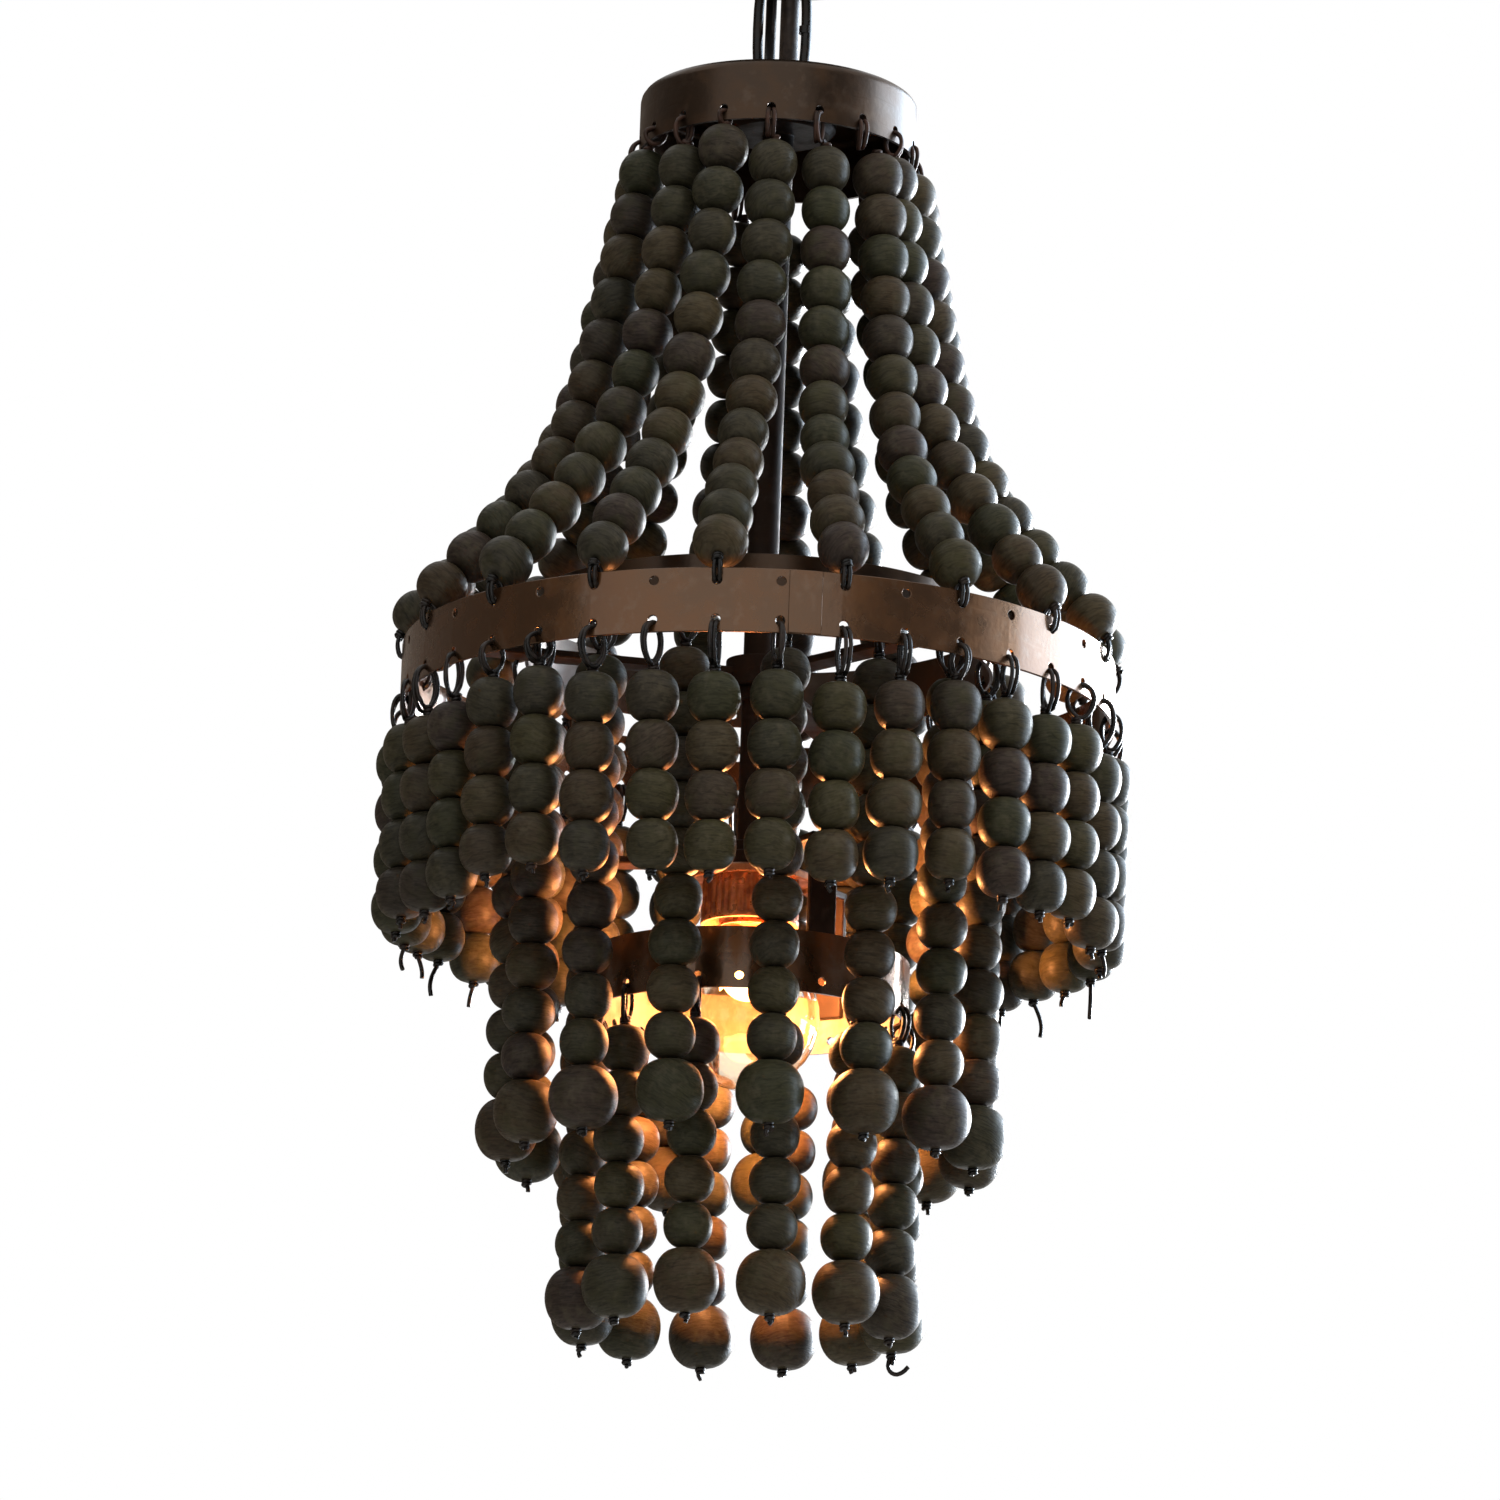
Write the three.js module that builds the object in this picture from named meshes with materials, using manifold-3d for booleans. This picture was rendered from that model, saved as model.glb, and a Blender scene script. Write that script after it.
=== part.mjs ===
// A beaded chandelier that hangs from a ceiling strap by one chain link. A crown cap carries
// eighteen bead strands that spread out to a flat ring with a bead curtain under it. Two smaller
// rings inside carry the inner and the lower tier of strands, round one lamp on a central stem.
// Millimetres, +Z up, the origin at the middle of the strap's top face, against the ceiling.

import * as THREE from 'three';
import { mergeVertices } from 'three/addons/utils/BufferGeometryUtils.js';
import Module from 'manifold-3d';

const wasm = await Module();
wasm.setup();

const degree = Math.PI / 180;

// Shared sizes
const seatGap = 0.3;
const cutOverrun = 3;
const sheet = 1.5;
const edgeRound = 4;
const wireFacets = 6;
const roundFacets = 12;
const cordFacets = 8;
const canopyFacets = 20;

// Beads and hook wires
const beadWidth = 20.4;
const beadHeight = 18.6;
const beadWaistWidth = 12;
const endBeadWidth = 27;
const endBeadHeight = 25;
const wireWidth = 2;
const hookReach = 3.2;
const hookLeg = 9;
const hookHoleWidth = 3.6;
const hookHoleEdge = 5;
const knotLength = 8;

// Ceiling strap and canopy
const strapLength = 96;
const strapWidth = 18;
const strapThickness = 2.5;
const slotSpacing = 40;
const slotLength = 12;
const slotWidth = 5;
const studSpacing = 76;
const studWidth = 5;
const studHeadWidth = 10;
const studHeadHeight = 4;
const canopyWidth = 115;
const canopyHeight = 26;
const canopyLip = 4;

// Loops, link and cords
const linkWidth = 23.5;
const linkHeight = 54;
const linkWire = 4.4;
const loopWire = 4.4;
const loopWidth = 21.4;
const flangeWidth = 22;
const flangeThickness = 3;
const flangeClearance = 0.7;
const nippleWidth = 10;
const nippleDepth = 9;
const nutWidth = 18;
const nutHeight = 4;
const supplyCordWidth = 8;
const earthLeadWidth = 4.5;
const cordRise = 6;
const cordSeat = 1.5;

// Crown cap and stem
const capWidth = 115;
const capHeight = 26.5;
const housingWidth = 48;
const housingHeight = 14;
const housingChamfer = 3;
const stemWidth = 13;
const stemBore = 9;
const stemSocketDepth = 6.5;

// Rings, each at the middle of its band, with the drop of its top edge below the crown's top
const mainRingWidth = 290.4;
const mainRingHeight = 26;
const mainRingDrop = 241;
const secondRingWidth = 190;
const secondRingHeight = 24;
const lowerRingWidth = 129.6;
const lowerRingHeight = 25;
const lowerRingDrop = 367;

// Spider arms
const armWidth = 12;
const armThickness = 3;
const armDrop = 4.6;
const hubWidth = 27;
const hubHeight = 12;
const lowerHubHeight = 8;
const lowerHubRise = 44;
const lowerArmLap = 11;
const armBite = 0.3;

// Strands
const crownStrands = 18;
const crownBeads = 12;
const crownFirstDrop = 46;
const crownWaistWidth = 158;
const crownWaistDrop = 160;
const crownEndInset = 5.2;
const crownEndRise = 12;
const curtainStrands = 36;
const curtainBeads = 4;
const curtainSpacing = 19.9;
const curtainHookDrop = 29;
const innerStrands = 15;
const innerBeads = 9;
const innerHookDrop = 29;
const lowerStrands = 12;
const lowerBeads = 5;
const lowerHookDrop = 27;
const tierSpacing = 18.6;
const mainPhase = -7 * degree;
const innerPhase = 6.2 * degree;
const lowerPhase = 12 * degree;
const armPhase = 43 * degree;
const lowerArmPhase = 27 * degree;
const armCount = 3;

// Lamp
const discWidth = 52;
const discThickness = 2.2;
const socketWidth = 40;
const socketHeight = 21;
const bulbWidth = 60;
const bulbBaseWidth = 26;
const bulbBaseHeight = 15;
const bulbNeckLength = 10;
const bulbShoulder = 63 * degree;
const bulbContactWidth = 5;
const bulbWall = 1.2;
const baseClearance = 1.2;

// Heights, worked down from the ceiling
const canopyFlangeTop = -canopyHeight - seatGap;
const linkTopBar = canopyFlangeTop - flangeThickness - flangeClearance - linkWire / 2;
const canopyLoopBar = linkTopBar - linkWire / 2 - seatGap - loopWire / 2;
const linkBottomBar = linkTopBar - linkHeight + linkWire;
const crownLoopBar = linkBottomBar + linkWire / 2 + seatGap + loopWire / 2;
const crownFlangeTop = linkBottomBar - linkWire / 2 - flangeClearance;
const crownTop = crownFlangeTop - flangeThickness - seatGap;
const cordStart = -canopyHeight + cordRise;
const cordEnd = crownTop - cordSeat;

// Heights below the crown's top, which is zero inside the fixture group
const housingTop = -sheet - seatGap;
const mainRingBottom = -mainRingDrop - mainRingHeight;
const armTop = -mainRingDrop - armDrop;
const secondRingBottom = armTop + seatGap;
const lowerRingBottom = -lowerRingDrop - lowerRingHeight;
const lowerHubTop = -lowerRingDrop + lowerHubRise;
const lowerHubBottom = lowerHubTop - lowerHubHeight;
const discTop = lowerHubBottom - seatGap;
const stemBottom = discTop - stemSocketDepth;

const finishes = {
  bronze: { color: 0x5f4432, roughness: 0.45, metalness: 0.75 },
  iron: { color: 0x1c1815, roughness: 0.4, metalness: 0.7 },
  wood: { color: 0x3e3a30, roughness: 0.8, metalness: 0 },
  brownCord: { color: 0x3f3127, roughness: 0.45, metalness: 0 },
  blackCord: { color: 0x171615, roughness: 0.35, metalness: 0 },
  socket: { color: 0x8a5a36, roughness: 0.4, metalness: 0.6 },
  glass: { color: 0xffe2a8, roughness: 0.1, metalness: 0 },
};
const materials = Object.fromEntries(
  Object.entries(finishes).map(([name, finish]) => [name, new THREE.MeshStandardMaterial(finish)]),
);

// Joins the vertices that share a place, so that the surface is closed.
function closeSurface(geometry) {
  const bare = new THREE.BufferGeometry();
  bare.setAttribute('position', geometry.getAttribute('position'));
  bare.setIndex(geometry.getIndex());
  return mergeVertices(bare);
}

function toSolid(geometry) {
  const closed = closeSurface(geometry);
  return new wasm.Manifold(new wasm.Mesh({
    numProp: 3,
    vertProperties: new Float32Array(closed.getAttribute('position').array),
    triVerts: new Uint32Array(closed.getIndex().array),
  }));
}

function toGeometry(solid) {
  const { vertProperties, triVerts } = solid.getMesh();
  const geometry = new THREE.BufferGeometry();
  geometry.setAttribute('position', new THREE.BufferAttribute(vertProperties, 3));
  geometry.setIndex(new THREE.BufferAttribute(triVerts, 1));
  return geometry;
}

function addAll(first, others) {
  return others.reduce((solid, other) => solid.add(toSolid(other)), toSolid(first));
}

function cutAll(solid, cutters) {
  return cutters.reduce((rest, cutter) => rest.subtract(toSolid(cutter)), solid);
}

// Turns a closed profile of [radius, height] points about Z. A flat of the result faces `phase`.
function revolve(profile, facets, phase = 0) {
  const points = profile.map(([radius, height]) => new THREE.Vector2(radius, height));
  const geometry = new THREE.LatheGeometry(points, facets);
  geometry.rotateX(Math.PI / 2);
  geometry.rotateZ(phase - Math.PI / 2 + Math.PI / facets);
  return closeSurface(geometry);
}

// The corner radius of a faceted ring whose flats lie at `radius`.
function cornerRadius(radius, facets) {
  return radius / Math.cos(Math.PI / facets);
}

function closedProfile(points) {
  return [...points, points[0]];
}

// An upright round bar or plate between two heights.
function disc(width, bottom, top, sides) {
  const geometry = new THREE.CylinderGeometry(width / 2, width / 2, top - bottom, sides);
  geometry.rotateX(Math.PI / 2);
  return geometry.translate(0, 0, (top + bottom) / 2);
}

// Moves a shape drawn on the +X side round to an angle from -Y towards +X.
function turnTo(geometry, phase) {
  return geometry.clone().rotateZ(phase - Math.PI / 2);
}

function around(count, phase, make) {
  return Array.from({ length: count }, (_, index) => make(phase + (index * 2 * Math.PI) / count, index));
}

// Skins a run of rings, which may have different numbers of points. A ring of one point is a tip.
function loft(rings, joinEnds = false) {
  const positions = rings.flat().flatMap((point) => point.toArray());
  const firsts = rings.map((_, index) => rings.slice(0, index).flat().length);
  const faces = [];
  const bands = joinEnds ? rings.length : rings.length - 1;
  for (let band = 0; band < bands; band += 1) {
    const next = (band + 1) % rings.length;
    const here = { first: firsts[band], count: rings[band].length, at: 0 };
    const there = { first: firsts[next], count: rings[next].length, at: 0 };
    const vertex = (ring, step) => ring.first + ((ring.at + step) % ring.count);
    const steps = (ring) => (ring.count > 1 ? ring.count : 0);
    while (here.at < steps(here) || there.at < steps(there)) {
      const hereNext = here.at < steps(here) ? (here.at + 1) / here.count : Infinity;
      const thereNext = there.at < steps(there) ? (there.at + 1) / there.count : Infinity;
      if (hereNext <= thereNext) {
        faces.push(vertex(here, 0), vertex(here, 1), vertex(there, 0));
        here.at += 1;
      } else {
        faces.push(vertex(here, 0), vertex(there, 1), vertex(there, 0));
        there.at += 1;
      }
    }
  }
  if (!joinEnds) {
    const last = firsts.at(-1);
    for (let corner = 1; corner < rings[0].length - 1; corner += 1) faces.push(0, corner + 1, corner);
    for (let corner = 1; corner < rings.at(-1).length - 1; corner += 1) {
      faces.push(last, last + corner, last + corner + 1);
    }
  }
  const geometry = new THREE.BufferGeometry();
  geometry.setAttribute('position', new THREE.Float32BufferAttribute(positions, 3));
  geometry.setIndex(faces);
  return geometry;
}

// A ring of points about a place in the XZ plane, square to the way the path runs there.
function crossSection(place, heading, width, sides) {
  const across = new THREE.Vector3(-heading.z, 0, heading.x);
  const side = new THREE.Vector3(0, 1, 0);
  if (width === 0) return [place.clone()];
  return Array.from({ length: sides }, (_, index) => {
    const turn = (index * 2 * Math.PI) / sides;
    return place.clone()
      .addScaledVector(side, (Math.cos(turn) * width) / 2)
      .addScaledVector(across, (Math.sin(turn) * width) / 2);
  });
}

// A round wire along a path in the XZ plane, closed on itself or with flat ends.
function bentWire(path, width, sides, joinEnds) {
  const rings = path.map((place, index) => {
    const before = path[joinEnds ? (index - 1 + path.length) % path.length : Math.max(index - 1, 0)];
    const after = path[joinEnds ? (index + 1) % path.length : Math.min(index + 1, path.length - 1)];
    return crossSection(place, after.clone().sub(before).normalize(), width, sides);
  });
  return loft(rings, joinEnds);
}

// The wire hook above a strand: in through the band's hole, over its outer face and down. Places
// are [radius, height] pairs, and the last is the top of the first bead.
function hookBar(holeHeight) {
  return holeHeight - hookHoleWidth / 2 + seatGap + wireWidth / 2;
}

function hookPlaces(bandRadius, holeHeight) {
  const bar = hookBar(holeHeight);
  return [
    [bandRadius - hookReach, bar],
    [bandRadius + hookReach, bar],
    [bandRadius + hookReach, bar - hookLeg],
  ];
}

// One strand in the XZ plane as a single skin: hook wire, beads with their touching faces, and
// either a second hook or the knot that ends the wire. Each bead has a centre, width and height.
function beadStrand({ topWire, beads, bottomWire }) {
  const place = ([radius, height]) => new THREE.Vector3(radius, 0, height);
  const stations = [];
  topWire.forEach((point) => stations.push({ at: place(point), width: wireWidth, sides: 3 }));
  beads.forEach((bead, index) => {
    const centre = place(bead.centre);
    const before = place(beads[Math.max(index - 1, 0)].centre);
    const after = place(beads[Math.min(index + 1, beads.length - 1)].centre);
    const heading = after.clone().sub(before).normalize();
    if (index === 0) {
      const top = centre.clone().addScaledVector(heading, -bead.height / 2);
      stations.push({ at: top, heading, width: wireWidth, sides: 3 });
      stations.push({ at: top, heading, width: beadWaistWidth, sides: 3 });
    }
    stations.push({ at: centre, heading, width: bead.width, sides: 5 });
    if (index < beads.length - 1) {
      const share = bead.height / (bead.height + beads[index + 1].height);
      const waist = centre.clone().lerp(place(beads[index + 1].centre), share);
      stations.push({ at: waist, width: beadWaistWidth, sides: 3 });
    } else {
      const foot = centre.clone().addScaledVector(heading, bead.height / 2);
      stations.push({ at: foot, heading, width: beadWaistWidth, sides: 3 });
    }
  });
  bottomWire.forEach((point, index) => {
    const width = bottomWire.length === 1 && index === 0 ? 0 : wireWidth;
    stations.push({ at: place(point), width, sides: 3 });
  });
  const rings = stations.map((station, index) => {
    const before = stations[Math.max(index - 1, 0)].at;
    const after = stations[Math.min(index + 1, stations.length - 1)].at;
    const heading = station.heading ?? after.clone().sub(before).normalize();
    return crossSection(station.at, heading, station.width, station.sides);
  });
  return loft(rings);
}

// A straight hanging strand below a hole: small beads, then a larger end bead and its knot.
function hangingStrand({ radius, holeHeight, hookDrop, spacing, smallBeads, endBead, topWire }) {
  const beads = Array.from({ length: smallBeads }, (_, index) => ({
    centre: [radius, holeHeight - hookDrop - index * spacing],
    width: beadWidth,
    height: beadHeight,
  }));
  if (endBead) {
    const lastCentre = beads.at(-1).centre[1];
    beads.push({
      centre: [radius, lastCentre - beadHeight / 2 - endBeadHeight / 2],
      width: endBeadWidth,
      height: endBeadHeight,
    });
  }
  const last = beads.at(-1);
  const foot = last.centre[1] - last.height / 2;
  return beadStrand({ topWire, beads, bottomWire: [[radius, foot - knotLength]] });
}

// A flat band bent into a ring, with rows of square holes for the hooks.
function bandRing({ width, bottom, top, facets, phase, rows }) {
  const outer = cornerRadius((width + sheet) / 2, facets);
  const inner = cornerRadius((width - sheet) / 2, facets);
  const profile = closedProfile([[inner, bottom], [outer, bottom], [outer, top], [inner, top]]);
  const cutter = new THREE.BoxGeometry(sheet + 2 * cutOverrun, hookHoleWidth, hookHoleWidth);
  const cutters = rows.flatMap(({ count, height }) => around(count, phase, (angle) => (
    turnTo(cutter.clone().translate(width / 2, 0, height), angle)
  )));
  return cutAll(toSolid(revolve(profile, facets, phase)), cutters);
}

function makeStrap() {
  const half = strapLength / 2 - strapWidth / 2;
  const outline = new THREE.Shape();
  outline.moveTo(-half, -strapWidth / 2);
  outline.lineTo(half, -strapWidth / 2);
  outline.absarc(half, 0, strapWidth / 2, -Math.PI / 2, Math.PI / 2);
  outline.lineTo(-half, strapWidth / 2);
  outline.absarc(-half, 0, strapWidth / 2, Math.PI / 2, (3 * Math.PI) / 2);
  for (const side of [-1, 1]) {
    const slot = new THREE.Path();
    const straight = slotLength / 2 - slotWidth / 2;
    const middle = (side * slotSpacing) / 2;
    slot.moveTo(middle - straight, slotWidth / 2);
    slot.lineTo(middle + straight, slotWidth / 2);
    slot.absarc(middle + straight, 0, slotWidth / 2, Math.PI / 2, -Math.PI / 2, true);
    slot.lineTo(middle - straight, -slotWidth / 2);
    slot.absarc(middle - straight, 0, slotWidth / 2, -Math.PI / 2, -(3 * Math.PI) / 2, true);
    outline.holes.push(slot);
  }
  const plate = new THREE.ExtrudeGeometry(outline, {
    depth: strapThickness, bevelEnabled: false, curveSegments: 4,
  });
  plate.translate(0, 0, -strapThickness);
  const headTop = -canopyHeight - seatGap;
  const studs = [-1, 1].flatMap((side) => [
    disc(studWidth, headTop - studHeadHeight / 2, -strapThickness / 2, wireFacets),
    disc(studHeadWidth, headTop - studHeadHeight, headTop, wireFacets),
  ].map((shape) => shape.translate((side * studSpacing) / 2, 0, 0)));
  return toGeometry(addAll(plate, studs));
}

function makeCanopy() {
  const outer = canopyWidth / 2;
  const bore = nippleWidth / 2 + seatGap;
  const cornerShares = [0.3, 0.7];
  const profile = closedProfile([
    [bore, -canopyHeight],
    [outer - edgeRound, -canopyHeight],
    [outer - edgeRound * cornerShares[0], -canopyHeight + edgeRound * cornerShares[0]],
    [outer, -canopyHeight + edgeRound],
    [outer, 0],
    [outer - canopyLip, 0],
    [outer - canopyLip, -sheet],
    [outer - sheet, -sheet],
    [outer - sheet, -canopyHeight + edgeRound],
    [outer - edgeRound, -canopyHeight + sheet],
    [bore, -canopyHeight + sheet],
  ]);
  const through = canopyHeight;
  const cutters = [-1, 1].map((side) => disc(
    studWidth + 2 * seatGap, -canopyHeight - through, -canopyHeight + through / 2, wireFacets,
  ).translate((side * studSpacing) / 2, 0, 0));
  const cords = cordRoutes.map(({ points, width }) => {
    const [x, y] = points[0];
    return disc(width + 2 * seatGap, -canopyHeight - through, -canopyHeight + through / 2, cordFacets)
      .translate(x, y, 0);
  });
  return toGeometry(cutAll(toSolid(revolve(profile, canopyFacets)), [...cutters, ...cords]));
}

// A loop bar bent over a round flange, with the threaded nipple behind it. `up` is 1 where the
// bar stands above the flange and -1 where it hangs below.
function makeLoop({ bar, flangeFace, nippleEnd, up, nut }) {
  const radius = (loopWidth - loopWire) / 2;
  const springing = bar - up * radius;
  const steps = 6;
  const arch = Array.from({ length: steps + 1 }, (_, index) => {
    const turn = (index * Math.PI) / steps;
    return new THREE.Vector3(radius * Math.cos(turn), 0, springing + up * radius * Math.sin(turn));
  });
  const wire = bentWire(up > 0 ? arch.reverse() : arch, loopWire, wireFacets, false).rotateZ(Math.PI / 2);
  const back = flangeFace - up * flangeThickness;
  const flange = disc(flangeWidth, Math.min(flangeFace, back), Math.max(flangeFace, back), roundFacets);
  const flangeMiddle = (flangeFace + back) / 2;
  const nipple = disc(
    nippleWidth, Math.min(flangeMiddle, nippleEnd), Math.max(flangeMiddle, nippleEnd), roundFacets,
  );
  const feet = [-1, 1].map((side) => disc(
    loopWire, Math.min(flangeMiddle, springing), Math.max(flangeMiddle, springing), wireFacets,
  ).translate(0, side * radius, 0));
  const extras = nut ? [disc(nutWidth, nut[0], nut[1], wireFacets)] : [];
  return toGeometry(addAll(flange, [nipple, wire, ...feet, ...extras]));
}

function makeLink() {
  const radius = (linkWidth - linkWire) / 2;
  const steps = 6;
  const path = [];
  for (let half = 0; half < 2; half += 1) {
    const centre = half === 0 ? linkTopBar - radius : linkBottomBar + radius;
    for (let step = 0; step <= steps; step += 1) {
      const turn = ((half * steps + step) * Math.PI) / steps;
      path.push(new THREE.Vector3(radius * Math.cos(turn), 0, centre + radius * Math.sin(turn)));
    }
  }
  return bentWire(path, linkWire, wireFacets, true);
}

// The two cords' free stretches, from inside the canopy to the housing under the crown cap, by
// their distance behind the axis at even steps down.
const cordRoutes = [
  {
    name: 'supply_cord',
    material: materials.brownCord,
    width: supplyCordWidth,
    side: 3.1,
    sway: [17, 17, 17.1, 17.4, 17.8, 18.2, 18.6, 18.8, 18.9, 18.8, 18.5, 18, 17.5, 17.1, 17, 17],
  },
  {
    name: 'earth_lead',
    material: materials.blackCord,
    width: earthLeadWidth,
    side: -4.8,
    sway: [15, 15, 14.9, 14.2, 12.8, 10.6, 7.7, 4.3, 0.4, -3.5, -7, -10.1, -12.6, -14.2, -14.9, -15],
  },
].map((route) => ({
  ...route,
  points: route.sway.map((back, step) => [
    route.side, back, cordStart + ((cordEnd - cordStart) * step) / (route.sway.length - 1),
  ]),
}));

function makeCord({ points, width }) {
  const path = new THREE.CatmullRomCurve3(points.map((point) => new THREE.Vector3(...point)));
  const section = new THREE.Shape();
  section.absarc(0, 0, width / 2, 0, 2 * Math.PI);
  return closeSurface(new THREE.ExtrudeGeometry(section, {
    steps: 12, curveSegments: 4, bevelEnabled: false, extrudePath: path,
  }));
}

function makeCrownCap() {
  const facets = 2 * crownStrands;
  const outer = cornerRadius(capWidth / 2, facets);
  const inner = cornerRadius(capWidth / 2 - sheet, facets);
  const bore = nippleWidth / 2 + seatGap;
  const shoulderShare = 0.3;
  const profile = closedProfile([
    [inner, -capHeight],
    [outer, -capHeight],
    [outer, -edgeRound],
    [outer - edgeRound * shoulderShare, -edgeRound * shoulderShare],
    [outer - edgeRound, 0],
    [bore, 0],
    [bore, -sheet],
    [inner - edgeRound + sheet, -sheet],
    [inner, -edgeRound],
  ]);
  const hole = new THREE.BoxGeometry(sheet + 2 * cutOverrun, hookHoleWidth, hookHoleWidth)
    .translate((capWidth - sheet) / 2, 0, -capHeight + hookHoleEdge);
  const hooks = around(crownStrands, mainPhase, (angle) => turnTo(hole, angle));
  const cords = cordRoutes.map(({ points, width }) => {
    const [x, y] = points.at(-1);
    return disc(width + 2 * seatGap, -sheet - cutOverrun, cutOverrun, cordFacets).translate(x, y, 0);
  });
  return toGeometry(cutAll(toSolid(revolve(profile, facets, mainPhase)), [...hooks, ...cords]));
}

function makeStem() {
  const housingBottom = housingTop - housingHeight;
  return revolve(closedProfile([
    [stemBore / 2, stemBottom],
    [stemWidth / 2, stemBottom],
    [stemWidth / 2, housingBottom],
    [housingWidth / 2 - housingChamfer, housingBottom],
    [housingWidth / 2, housingBottom + housingChamfer],
    [housingWidth / 2, housingTop],
    [nippleWidth / 2 + seatGap, housingTop],
    [nippleWidth / 2 + seatGap, housingTop - nippleDepth],
    [stemBore / 2, housingTop - nippleDepth],
  ]), roundFacets);
}

function makeHub(bottom, top) {
  const bore = stemWidth / 2 + seatGap;
  return revolve(closedProfile([
    [bore, bottom], [hubWidth / 2, bottom], [hubWidth / 2, top], [bore, top],
  ]), roundFacets);
}

function makeMainSpider() {
  const start = (hubWidth / 2 + stemWidth / 2) / 2;
  const end = (mainRingWidth - sheet) / 2 - seatGap;
  const arm = new THREE.BoxGeometry(end - start, armWidth, armThickness)
    .translate((start + end) / 2, 0, armTop - armThickness / 2);
  const middle = armTop - armThickness / 2;
  const hub = makeHub(middle - hubHeight / 2, middle + hubHeight / 2);
  return toGeometry(addAll(hub, around(armCount, armPhase, (angle) => turnTo(arm, angle))));
}

// The main band and its curtain: the strands' wires run into the band's lower hole row.
function makeMainRing() {
  const band = bandRing({
    width: mainRingWidth,
    bottom: mainRingBottom,
    top: -mainRingDrop,
    facets: curtainStrands,
    phase: mainPhase,
    rows: [{ count: curtainStrands, height: -mainRingDrop - hookHoleEdge }],
  });
  const holeHeight = mainRingBottom + hookHoleEdge;
  const strand = hangingStrand({
    radius: mainRingWidth / 2,
    holeHeight,
    hookDrop: curtainHookDrop,
    spacing: curtainSpacing,
    smallBeads: curtainBeads,
    endBead: false,
    topWire: [[mainRingWidth / 2, holeHeight]],
  });
  const strands = around(curtainStrands, mainPhase, (angle) => turnTo(strand, angle));
  return toGeometry(strands.reduce((solid, shape) => solid.add(toSolid(shape)), band));
}

function makeSecondRing() {
  return toGeometry(bandRing({
    width: secondRingWidth,
    bottom: secondRingBottom,
    top: secondRingBottom + secondRingHeight,
    facets: 2 * innerStrands,
    phase: innerPhase,
    rows: [{ count: innerStrands, height: secondRingBottom + hookHoleEdge }],
  }));
}

// The lower band with the three cranked arms that are welded to it and their hub on the stem.
function makeLowerRing() {
  const band = bandRing({
    width: lowerRingWidth,
    bottom: lowerRingBottom,
    top: -lowerRingDrop,
    facets: 2 * lowerStrands,
    phase: lowerPhase,
    rows: [{ count: 2 * lowerStrands, height: lowerRingBottom + hookHoleEdge }],
  });
  const start = (hubWidth / 2 + stemWidth / 2) / 2;
  const face = (lowerRingWidth - sheet) / 2 + armBite;
  const level = lowerHubTop - lowerHubHeight / 2;
  const legBottom = -lowerRingDrop - lowerArmLap;
  const reach = new THREE.BoxGeometry(face - start, armWidth, armThickness)
    .translate((start + face) / 2, 0, level);
  const leg = new THREE.BoxGeometry(armThickness, armWidth, level - legBottom)
    .translate(face - armThickness / 2, 0, (level + legBottom) / 2);
  const hub = makeHub(lowerHubBottom, lowerHubTop);
  const arms = around(armCount, lowerArmPhase, (angle) => [turnTo(reach, angle), turnTo(leg, angle)]);
  return toGeometry(band.add(addAll(hub, arms.flat())));
}

function makeSocket() {
  const seat = stemBottom - seatGap;
  const mouth = discTop - socketHeight;
  const bore = bulbBaseWidth / 2 + baseClearance;
  return revolve(closedProfile([
    [bore, mouth],
    [socketWidth / 2, mouth],
    [socketWidth / 2, discTop - discThickness],
    [discWidth / 2, discTop - discThickness],
    [discWidth / 2, discTop],
    [stemWidth / 2 + seatGap, discTop],
    [stemWidth / 2 + seatGap, seat],
    [bore, seat],
  ]), 2 * roundFacets);
}

// A hollow glass bulb and its screw base, open at the base's top where the contact sits.
function makeBulb() {
  const top = stemBottom - 2 * seatGap;
  const baseBottom = top - bulbBaseHeight;
  const globe = bulbWidth / 2;
  const neck = bulbBaseWidth / 2;
  const neckBottom = baseBottom - bulbNeckLength;
  const steps = 5;
  const neckShare = 1.25;
  const shell = (inset) => {
    const radius = globe - inset;
    const centre = neckBottom - globe * Math.sin(bulbShoulder);
    const bend = Array.from({ length: steps + 1 }, (_, index) => {
      const turn = -Math.PI / 2 + ((bulbShoulder + Math.PI / 2) * index) / steps;
      return [Math.max(radius * Math.cos(turn), 0), centre + radius * Math.sin(turn)];
    });
    return [
      ...bend,
      [neck * neckShare - inset, neckBottom + inset],
      [neck - inset, baseBottom],
      [neck - inset, top - inset],
    ];
  };
  const outside = shell(0);
  const inside = shell(bulbWall).reverse();
  const contact = [[bulbContactWidth / 2, top], [bulbContactWidth / 2, top - bulbWall]];
  return revolve([...outside, ...contact, ...inside], roundFacets);
}

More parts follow.
